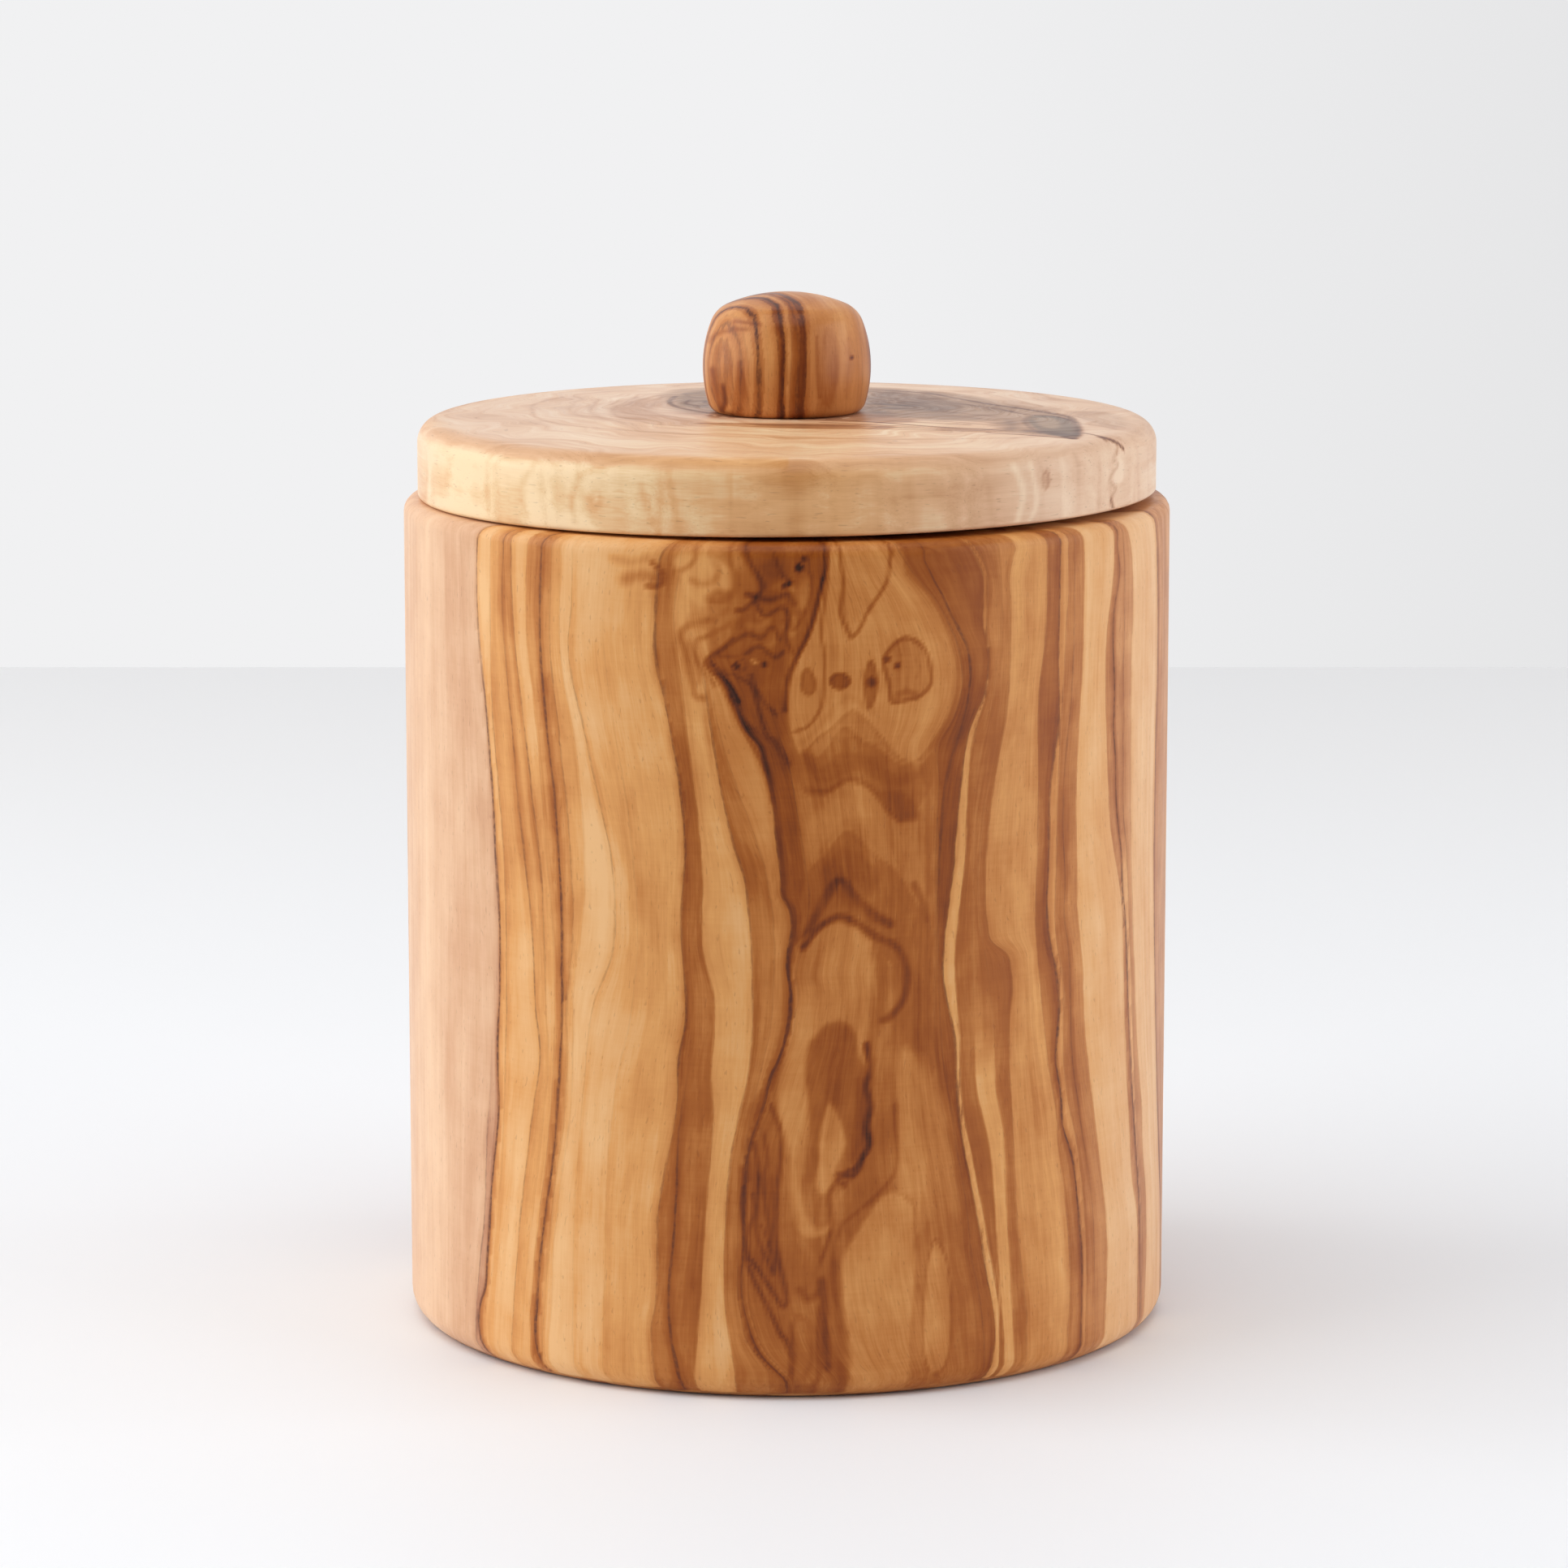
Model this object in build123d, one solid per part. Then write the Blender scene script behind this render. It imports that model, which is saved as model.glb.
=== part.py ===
from build123d import *

import os

# A lathe-turned olive-wood spice box: a hollow jar, a lid with a spigot that drops into its bore,
# and a bead knob held to the lid by a fluted wooden dowel.
# Frame: +Z up, origin at the centre of the jar's foot, on the surface that the box stands on.
# Every size is in millimetres.

# Jar
JAR_RADIUS = 45.0
JAR_HEIGHT = 97.6
JAR_WALL = 8.0
JAR_FLOOR = 9.0
FOOT_ROUND = 2.8
RIM_ROUND = 1.5
MOUTH_CHAMFER = 0.6
INNER_COVE = 4.0

# Lid. Its edge stands in from the jar's wall by the setback.
LID_SETBACK = 1.65
LID_EDGE_HEIGHT = 9.0
LID_CROWN = 0.8
LID_TOP_ROUND = 2.6
LID_LOWER_ROUND = 0.5
SPIGOT_DEPTH = 6.0
SPIGOT_CLEARANCE = 0.4
SPIGOT_CHAMFER = 0.8
KNOB_SEAT_MARGIN = 0.4

# Knob. It is widest at its belly, and draws in by the insets down to its foot and up to its shoulder.
KNOB_RADIUS = 9.86
KNOB_HEIGHT = 14.05
KNOB_BELLY_HEIGHT = 5.4
KNOB_FOOT_INSET = 1.0
KNOB_SHOULDER_INSET = 1.6
KNOB_CROWN_RISE = 2.0
KNOB_FOOT_ROUND = 1.5
KNOB_SHOULDER_ROUND = 3.5

# Dowel that joins the knob to the lid
DOWEL_RADIUS = 3.0
DOWEL_DEPTH_IN_LID = 7.0
DOWEL_DEPTH_IN_KNOB = 7.0
DOWEL_END_CHAMFER = 0.6
DOWEL_GLUE_GAP = 0.03
DOWEL_END_GAP = 0.5
FLUTE_COUNT = 12
FLUTE_RADIUS = 0.35

# Radii and heights that follow from the sizes above
bore_radius = JAR_RADIUS - JAR_WALL
lid_radius = JAR_RADIUS - LID_SETBACK
spigot_radius = bore_radius - SPIGOT_CLEARANCE
spigot_end = JAR_HEIGHT - SPIGOT_DEPTH
lid_edge_top = JAR_HEIGHT + LID_EDGE_HEIGHT
knob_base = lid_edge_top + LID_CROWN
knob_foot_radius = KNOB_RADIUS - KNOB_FOOT_INSET
knob_shoulder_radius = KNOB_RADIUS - KNOB_SHOULDER_INSET
knob_shoulder_height = KNOB_HEIGHT - KNOB_CROWN_RISE
dowel_bottom = knob_base - DOWEL_DEPTH_IN_LID
dowel_top = knob_base + DOWEL_DEPTH_IN_KNOB


def corner_of(outline, radius, height):
    """The corner of a flat half outline that lies nearest to this radius and height."""
    return outline.vertices().sort_by_distance((radius, height))[0]


def turned(outline):
    """Turn a flat half outline, drawn as radius across and height up, into a solid about Z."""
    return revolve(Rot(90, 0, 0) * outline, Axis.Z)


def dowel_hole():
    """The space that is drilled for the dowel, through the joint of knob and lid."""
    low = dowel_bottom - DOWEL_END_GAP
    high = dowel_top + DOWEL_END_GAP
    radius = DOWEL_RADIUS + DOWEL_GLUE_GAP
    return Pos(0, 0, (low + high) / 2) * Cylinder(radius, high - low)


def make_jar_body():
    """Hollow jar, with a rounded foot and rim, a chamfered mouth and a cove inside at the floor."""
    outline = make_face(
        Polyline(
            (0, 0),
            (JAR_RADIUS, 0),
            (JAR_RADIUS, JAR_HEIGHT),
            (bore_radius, JAR_HEIGHT),
            (bore_radius, JAR_FLOOR),
            (0, JAR_FLOOR),
            close=True,
        )
    )
    outline = fillet(corner_of(outline, JAR_RADIUS, 0), FOOT_ROUND)
    outline = fillet(corner_of(outline, JAR_RADIUS, JAR_HEIGHT), RIM_ROUND)
    outline = fillet(corner_of(outline, bore_radius, JAR_FLOOR), INNER_COVE)
    outline = chamfer(corner_of(outline, bore_radius, JAR_HEIGHT), MOUTH_CHAMFER)
    return turned(outline)


def make_lid():
    """Disc with a low crown, rounded edges, a flat seat for the knob and a spigot underneath."""
    seat_radius = knob_foot_radius + KNOB_SEAT_MARGIN
    flats = Polyline(
        (seat_radius, knob_base),
        (0, knob_base),
        (0, spigot_end),
        (spigot_radius, spigot_end),
        (spigot_radius, JAR_HEIGHT),
        (lid_radius, JAR_HEIGHT),
        (lid_radius, lid_edge_top),
    )
    crown = TangentArc(flats @ 0, flats @ 1, tangent=(1, 0))
    outline = make_face(flats + crown)
    outline = fillet(corner_of(outline, lid_radius, lid_edge_top), LID_TOP_ROUND)
    outline = fillet(corner_of(outline, lid_radius, JAR_HEIGHT), LID_LOWER_ROUND)
    outline = chamfer(corner_of(outline, spigot_radius, spigot_end), SPIGOT_CHAMFER)
    return turned(outline) - dowel_hole()


def make_knob():
    """Bead knob: a bowed side and a low crown, rounded into each other and into a flat foot."""
    belly = (KNOB_RADIUS, KNOB_BELLY_HEIGHT)
    shoulder = (knob_shoulder_radius, knob_shoulder_height)
    lower_side = TangentArc(belly, (knob_foot_radius, 0), tangent=(0, -1))
    upper_side = TangentArc(belly, shoulder, tangent=(0, 1))
    crown = TangentArc((0, KNOB_HEIGHT), shoulder, tangent=(1, 0))
    flats = Polyline(lower_side @ 1, (0, 0), crown @ 0)
    outline = make_face(flats + crown + upper_side + lower_side)
    outline = fillet(corner_of(outline, knob_foot_radius, 0), KNOB_FOOT_ROUND)
    outline = fillet(corner_of(outline, *shoulder), KNOB_SHOULDER_ROUND)
    return turned(Pos(0, knob_base) * outline) - dowel_hole()


def make_knob_dowel():
    """Fluted dowel with chamfered ends. The flutes let the glue spread along the hole."""
    length = dowel_top - dowel_bottom
    rod = Cylinder(DOWEL_RADIUS, length)
    rod = chamfer(rod.edges().filter_by(GeomType.CIRCLE), DOWEL_END_CHAMFER)
    for place in PolarLocations(DOWEL_RADIUS, FLUTE_COUNT):
        rod -= place * Cylinder(FLUTE_RADIUS, length)
    return Pos(0, 0, (dowel_bottom + dowel_top) / 2) * rod


def main():
    """Build every sub-part and write each one to its own file."""
    os.makedirs("parts", exist_ok=True)
    pieces = {
        "jar_body": make_jar_body(),
        "lid": make_lid(),
        "knob": make_knob(),
        "knob_dowel": make_knob_dowel(),
    }
    for name, piece in pieces.items():
        export_step(piece, f"parts/{name}.step")
        print(name, "volume", round(piece.volume), "mm3")


main()
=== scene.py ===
"""The looks of a turned olive-wood spice box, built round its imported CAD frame.

Lengths are millimetres until a mesh is made, and metres from there on. A place on the wall of the
jar is given as s, the millimetres round it from the front (right is positive, measured at the
radius of the jar), and z, the height.
"""
import logging
import math
from dataclasses import dataclass, field
from enum import Enum
from typing import Any, Mapping, Sequence, Union

import bpy
import numpy as np
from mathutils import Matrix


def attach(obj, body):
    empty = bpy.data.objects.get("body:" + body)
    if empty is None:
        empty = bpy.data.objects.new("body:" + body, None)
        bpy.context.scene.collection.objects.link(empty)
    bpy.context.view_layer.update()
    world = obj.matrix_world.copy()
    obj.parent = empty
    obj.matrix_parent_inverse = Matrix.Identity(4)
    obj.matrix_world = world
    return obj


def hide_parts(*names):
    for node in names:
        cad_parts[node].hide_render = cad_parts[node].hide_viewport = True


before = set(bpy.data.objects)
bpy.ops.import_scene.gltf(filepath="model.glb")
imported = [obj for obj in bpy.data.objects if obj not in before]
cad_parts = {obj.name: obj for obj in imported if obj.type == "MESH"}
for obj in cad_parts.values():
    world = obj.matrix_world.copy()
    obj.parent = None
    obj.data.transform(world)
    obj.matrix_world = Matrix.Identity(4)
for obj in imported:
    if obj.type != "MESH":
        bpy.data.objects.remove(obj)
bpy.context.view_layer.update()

log = logging.getLogger("spice_box")

MM = 0.001

# A place, in mm, that no mark on the wood reaches.
FAR_OFF = 999.0

# The line round a patch: how far its edges fade and how far it can reach, in mm, and its cover.
OUTLINE_SOFT = 0.35
OUTLINE_REACH = 0.5
OUTLINE_COVER = 0.85

Points = Sequence[tuple[float, float]]
Run = Union[float, Points]


class Body(Enum):
    """The CAD bodies that the pieces ride on."""

    JAR = "jar"
    LID = "lid"


def linear(code: str) -> tuple[float, float, float, float]:
    """Turn an sRGB hex colour into linear light.

    Args:
        code: the colour as six hex digits.

    Returns:
        Red, green, blue and an opaque alpha.
    """
    parts = [int(code[i : i + 2], 16) / 255 for i in (0, 2, 4)]
    light = [p / 12.92 if p <= 0.04045 else ((p + 0.055) / 1.055) ** 2.4 for p in parts]
    return (light[0], light[1], light[2], 1.0)


def smooth_curve(points: Points, closed: bool = False, per_span: int = 6) -> np.ndarray:
    """Carry a Catmull-Rom curve through given points.

    Each span is the cubic that meets its two points and leaves each one parallel to the line
    between that point's neighbours.

    Args:
        points: the points, in order.
        closed: whether the last point runs back to the first.
        per_span: samples on each span.

    Returns:
        The samples, one row each.
    """
    p = np.asarray(points, float)
    if closed:
        p = np.vstack([p[-1], p, p[0], p[1]])
    else:
        p = np.vstack([2 * p[0] - p[1], p, 2 * p[-1] - p[-2]])
    a, b, c, d = p[:-3, None], p[1:-2, None], p[2:-1, None], p[3:, None]
    t = (np.arange(per_span) / per_span)[None, :, None]
    bend = (2 * a - 5 * b + 4 * c - d) * t**2 + (3 * b - a - 3 * c + d) * t**3
    curve = 0.5 * (2 * b + (c - a) * t + bend)
    samples = curve.reshape(-1, p.shape[1])
    return samples if closed else np.vstack([samples, p[-2]])


def over_height(points: Points, z: np.ndarray) -> np.ndarray:
    """Read a line drawn up the wall at any height.

    The line is a cubic Hermite curve of s over z, whose slope at each point is the one between its
    neighbours. Past its ends it runs on straight up.

    Args:
        points: (s, z) places on the line, in any order of height.
        z: the heights to read it at.

    Returns:
        s at each of those heights.
    """
    p = np.array(sorted(points, key=lambda place: place[1]), float)
    s, h = p[:, 0], p[:, 1]
    slope = np.gradient(s, h) if len(h) > 1 else np.zeros(1)
    z = np.clip(z, h[0], h[-1])
    k = np.clip(np.searchsorted(h, z) - 1, 0, max(len(h) - 2, 0))
    span = h[k + 1] - h[k]
    t = (z - h[k]) / span
    rise = t * t * (3 - 2 * t)
    lean = slope[k] * (t - 2 * t**2 + t**3) + slope[k + 1] * (t**3 - t**2)
    return s[k] + (s[k + 1] - s[k]) * rise + lean * span


def along(value: Run, z: np.ndarray) -> np.ndarray:
    """Read a value that is one number, or a run of (z, value) pairs, at any height."""
    if isinstance(value, (int, float)):
        return np.full(np.shape(z), float(value))
    p = np.array(sorted(value), float)
    return np.interp(z, p[:, 0], p[:, 1])


def ease(x: np.ndarray) -> np.ndarray:
    """Rise smoothly from 0 to 1 while x goes from 0 to 1: three x squared less two x cubed."""
    x = np.clip(x, 0.0, 1.0)
    return x * x * (3 - 2 * x)


def waver(places: np.ndarray, size: float, seed: int, waves: int = 14) -> np.ndarray:
    """Smooth random ups and downs in space, about -1 to 1.

    It is a sum of cosine waves with random directions and phases, whose lengths lie about the size.

    Args:
        places: points, with their coordinates in the last axis.
        size: the usual wavelength, in mm.
        seed: picks the pattern.
        waves: how many waves are added.

    Returns:
        One number for each point.
    """
    rng = np.random.default_rng(seed)
    heading = rng.normal(size=(waves, places.shape[-1]))
    heading /= np.linalg.norm(heading, axis=1, keepdims=True)
    heading *= (2 * np.pi / size) * rng.uniform(0.6, 1.7, (waves, 1))
    phase = rng.uniform(0, 2 * np.pi, waves)
    return np.cos(places @ heading.T + phase).sum(-1) / math.sqrt(waves / 2) / 1.6


@dataclass(frozen=True)
class GrainLine:
    """A growth line that runs right up the wall, and the wood on each side of it.

    Attributes:
        path: (s, z) places on it.
        before: tone of the wood just left of it.
        after: tone of the wood just right of it.
        ink: how dark the thin line on it is, 0 for none.
    """

    path: Points
    before: Run
    after: Run
    ink: Run = 0.0


@dataclass(frozen=True)
class Stroke:
    """A stroke of darker or paler wood.

    Attributes:
        path: places that it runs through.
        tone: the tone that it brings.
        width: its full width in mm.
        soft: how far its edges fade, in mm.
        cover: how much of the wood below it hides, 0 to 1.
        ash: how grey it is, 0 to 1.
    """

    path: Points
    tone: float
    width: float = 0.4
    soft: float = 0.35
    cover: float = 0.8
    ash: float = 0.0


@dataclass(frozen=True)
class Patch:
    """A closed patch of one tone, with a line round it.

    Attributes:
        path: places on its outline.
        tone: the tone inside.
        soft: how far its edge fades, in mm.
        cover: how much of the wood below it hides, 0 to 1.
        edge: tone of the line round it, or None for no line.
        edge_width: width of that line in mm.
        ash: how grey it is, 0 to 1.
    """

    path: Points
    tone: float
    soft: float = 0.4
    cover: float = 0.9
    edge: Union[float, None] = None
    edge_width: float = 0.35
    ash: float = 0.0


Marks = Sequence[Union[Stroke, Patch]]


def speck(across: float, up: float, size: float, tone: float) -> Patch:
    """A small dark patch on four points, such as a pin knot."""
    half = size / 2
    points = ((across, up + half), (across + half, up), (across, up - half), (across - half, up))
    return Patch(points, tone, soft=0.3)


@dataclass
class Figure:
    """What the wood shows at each point of a surface.

    Attributes:
        even, odd: tone of the bands on the two sides of the nearest growth line.
        ink: darkness of that line.
        line: signed distance from that line in mm; the sign flips from band to band.
        grain: the point's place in the straight-grained wood, in mm, fibres along the last axis.
        blush: 0 for the golden wood, 1 for rosy sapwood.
        ashen: 0 for clean wood, 1 for the grey-green of a bark pocket.
    """

    even: np.ndarray
    odd: np.ndarray
    ink: np.ndarray
    line: np.ndarray
    grain: np.ndarray
    blush: np.ndarray
    ashen: np.ndarray

    def cover(self, where: np.ndarray, mask: np.ndarray, tone: float, ash: float) -> None:
        """Pull the tone and the greyness of the chosen points towards those of a mark.

        Args:
            where: which points are chosen.
            mask: how far each of them is pulled, 0 to 1.
            tone: the mark's tone.
            ash: how grey the mark is.
        """
        for values, aim in ((self.even, tone), (self.odd, tone), (self.ashen, ash)):
            values[where] += (aim - values[where]) * mask

    def draw(self, marks: Marks, across: np.ndarray, up: np.ndarray) -> None:
        """Draw strokes and patches over the bands, one on the other in order.

        A point's distance from a mark is the least of its distances from the straight pieces of
        the mark's curve. It is inside a patch where a ray from it crosses the outline an odd
        number of times.

        Args:
            marks: what is drawn.
            across: the points' first coordinate.
            up: their second one.
        """
        for mark in marks:
            is_patch = isinstance(mark, Patch)
            curve = smooth_curve(mark.path, closed=is_patch)
            reach = mark.soft + (OUTLINE_REACH if is_patch else mark.width / 2)
            low, high = curve.min(0) - reach, curve.max(0) + reach
            near = (across > low[0]) & (across < high[0]) & (up > low[1]) & (up < high[1])
            if not near.any():
                continue
            place = np.stack([across[near], up[near]], -1)[:, None]
            start = curve if is_patch else curve[:-1]
            step = (np.roll(curve, -1, 0) if is_patch else curve[1:]) - start
            length = np.maximum((step**2).sum(-1), 1e-12)
            t = np.clip(((place - start) * step).sum(-1) / length, 0, 1)
            gap = np.sqrt((((place - start) - t[..., None] * step) ** 2).sum(-1)).min(-1)
            if not is_patch:
                beside = (gap - mark.width / 2) / mark.soft
                self.cover(near, mark.cover * (1 - ease(beside + 0.5)), mark.tone, mark.ash)
                continue
            end = start + step
            level = (start[:, 1] > place[..., 1]) != (end[:, 1] > place[..., 1])
            rise = np.where(step[:, 1] == 0, 1e-12, step[:, 1])
            cross = start[:, 0] + step[:, 0] * (place[..., 1] - start[:, 1]) / rise
            inside = (level & (place[..., 0] < cross)).sum(-1) % 2 == 1
            depth = np.where(inside, gap, -gap)
            self.cover(near, mark.cover * ease(depth / mark.soft + 0.5), mark.tone, mark.ash)
            if mark.edge is not None:
                beside = (gap - mark.edge_width / 2) / OUTLINE_SOFT
                self.cover(near, OUTLINE_COVER * (1 - ease(beside + 0.5)), mark.edge, mark.ash)


def between_lines(
    where: np.ndarray, places: np.ndarray, lines: dict[str, np.ndarray]
) -> dict[str, np.ndarray]:
    """Fill the space between growth lines with their bands.

    A band's tone runs straight from the tone after its left line to the tone before its right
    one. The signed distance is the way to the nearer line, positive in every second band, so that
    it passes through nought in a straight slope at each line.

    Args:
        where: (rows, columns) positions across the lines.
        places: (rows, lines) positions of the lines, rising along each row.
        lines: before, after, ink and home, each (rows, lines).

    Returns:
        even, odd, ink, line and home for each point.
    """
    k = np.clip((where[:, :, None] >= places[:, None, :]).sum(-1) - 1, 0, places.shape[1] - 2)
    left, right = np.take_along_axis(places, k, 1), np.take_along_axis(places, k + 1, 1)
    t = np.clip((where - left) / (right - left), 0, 1)

    def of(name: str, shift: int) -> np.ndarray:
        """A value of the line on the left (0) or the right (1) of each point."""
        return np.take_along_axis(lines[name], k + shift, 1)

    own = of("after", 0) + (of("before", 1) - of("after", 0)) * t
    other = np.where(t < 0.5, of("before", 0), of("after", 1))
    is_even = k % 2 == 0
    return {
        "even": np.where(is_even, own, other),
        "odd": np.where(is_even, other, own),
        "ink": np.where(t < 0.5, of("ink", 0), of("ink", 1)),
        "line": np.where(is_even, 1, -1) * np.minimum(where - left, right - where),
        "home": of("home", 0) + (of("home", 1) - of("home", 0)) * t,
    }


def ring_bands(pith: np.ndarray, rings: Sequence[float], **lines: Sequence[float]) -> dict[str, np.ndarray]:
    """Fill the space between growth rings with their bands.

    Args:
        pith: (rows, columns) distances from the pith.
        rings: the rings' own distances from it, rising.
        **lines: before, after and ink of each ring.

    Returns:
        even, odd, ink and line for each point.
    """
    spread = {name: np.tile(values, (len(pith), 1)) for name, values in lines.items()}
    spread["home"] = np.tile(rings, (len(pith), 1))
    bands = between_lines(pith, spread["home"], spread)
    del bands["home"]
    return bands


@dataclass
class Turning:
    """A surface turned about Z: a half outline carried round the axis on a grid.

    The point at row i and column j is (r sin a, -r cos a, h), with the radius r and the height h
    of outline point i and the angle a of column j. An outline point on the axis is one pole.

    Attributes:
        radius: radius of each outline point, 0 at both ends.
        height: height of each outline point.
        angle: the columns' angles, rising from the front round by the right.
    """

    radius: np.ndarray
    height: np.ndarray
    angle: np.ndarray

    def places(self) -> np.ndarray:
        """The grid's points between the poles, as (rows, columns, 3)."""
        r, h = self.radius[1:-1, None], self.height[1:-1, None]
        a = self.angle[None, :]
        return np.stack([r * np.sin(a), -r * np.cos(a), h + 0 * a], -1)

    def mesh(self, name: str, places: np.ndarray, figure: Figure) -> bpy.types.Object:
        """Make the closed mesh and give it the figure of its wood.

        Args:
            name: name of the piece.
            places: the grid's points between the poles, in mm.
            figure: the wood at those points.

        Returns:
            The new object, in the scene.
        """
        rows, columns = places.shape[:2]
        poles = np.array([[0, 0, self.height[0]], [0, 0, self.height[-1]]])
        points = np.vstack([poles[:1], places.reshape(-1, 3), poles[1:]]) * MM
        index = 1 + np.arange(rows * columns).reshape(rows, columns)
        right = np.roll(index, -1, 1)
        quads = np.stack([index[:-1], right[:-1], right[1:], index[1:]], -1).reshape(-1, 4)
        low = np.stack([np.zeros(columns, int), right[0], index[0]], -1)
        high = np.stack([np.full(columns, len(points) - 1), index[-1], right[-1]], -1)
        corners = np.concatenate([quads.ravel(), low.ravel(), high.ravel()])
        sizes = np.concatenate([np.full(len(quads), 4), np.full(2 * columns, 3)])
        mesh = bpy.data.meshes.new(name)
        mesh.vertices.add(len(points))
        mesh.vertices.foreach_set("co", points.astype(np.float32).ravel())
        mesh.loops.add(len(corners))
        mesh.loops.foreach_set("vertex_index", corners.astype(np.int32))
        mesh.polygons.add(len(sizes))
        mesh.polygons.foreach_set("loop_start", (np.cumsum(sizes) - sizes).astype(np.int32))
        mesh.update(calc_edges=True)
        mesh.validate()
        mesh.shade_smooth()
        vectors = {
            "figure": np.stack([figure.even, figure.odd, figure.ink], -1),
            "bands": np.stack([figure.line, figure.blush, figure.ashen], -1),
            "grain": figure.grain,
        }
        for title, values in vectors.items():
            ends = [values[0].mean(0, keepdims=True), values[-1].mean(0, keepdims=True)]
            values = np.vstack([ends[0], values.reshape(-1, 3), ends[1]])
            layer = mesh.attributes.new(title, "FLOAT_VECTOR", "POINT")
            layer.data.foreach_set("vector", values.astype(np.float32).ravel())
        piece = bpy.data.objects.new(name, mesh)
        bpy.context.scene.collection.objects.link(piece)
        return piece


def straight(start: tuple[float, float], end: tuple[float, float], pitch: float) -> np.ndarray:
    """Points on a straight run from start to just before end, no further apart than the pitch."""
    a, b = np.asarray(start, float), np.asarray(end, float)
    count = max(1, math.ceil(np.linalg.norm(b - a) / pitch))
    return a + (b - a) * (np.arange(count) / count)[:, None]


def arc(centre: tuple[float, float], radius: float, start: float, end: float, steps: int) -> np.ndarray:
    """Points on an arc of a circle, from the start angle to just before the end angle, in degrees."""
    a = np.radians(start + (end - start) * np.arange(steps) / steps)
    return np.stack([centre[0] + radius * np.cos(a), centre[1] + radius * np.sin(a)], -1)


def hang(piece: bpy.types.Object, wood: "OliveWood", body: Body, node: str) -> bpy.types.Object:
    """Dress a finished piece, hang it on the body that it rides on, and hide the CAD node that it stands
    for.

    Args:
        piece: the piece.
        wood: its finish.
        body: the CAD body that it moves with.
        node: the CAD node that it replaces.

    Returns:
        The same piece.
    """
    piece.data.materials.append(wood.material())
    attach(piece, body.value)
    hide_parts(node)
    return piece


def blank(name: str) -> bpy.types.Material:
    """A new material with an empty node tree."""
    material = bpy.data.materials.new(name)
    material.use_nodes = True
    material.node_tree.nodes.clear()
    return material


def add_node(
    tree: bpy.types.NodeTree,
    kind: str,
    inputs: Union[Mapping[Union[str, int], Any], None] = None,
    stops: Sequence[tuple[float, str]] = (),
    **settings: Any,
) -> bpy.types.Node:
    """Add one node with its settings, its values and the links that feed it.

    Args:
        tree: where it goes.
        kind: Blender's name of the node type.
        inputs: for a socket's name or number, its value or the output that feeds it.
        stops: (position, sRGB hex) pairs, for a node with a colour ramp.
        **settings: the node's own properties.

    Returns:
        The node.
    """
    node = tree.nodes.new(kind)
    for name, value in settings.items():
        setattr(node, name, value)
    for socket, value in (inputs or {}).items():
        if isinstance(value, bpy.types.NodeSocket):
            tree.links.new(value, node.inputs[socket])
        else:
            node.inputs[socket].default_value = value
    for number, (position, code) in enumerate(stops):
        ramp = node.color_ramp.elements
        stop = ramp[number] if number < 2 else ramp.new(position)
        stop.position = position
        stop.color = linear(code)
    return node


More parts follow.
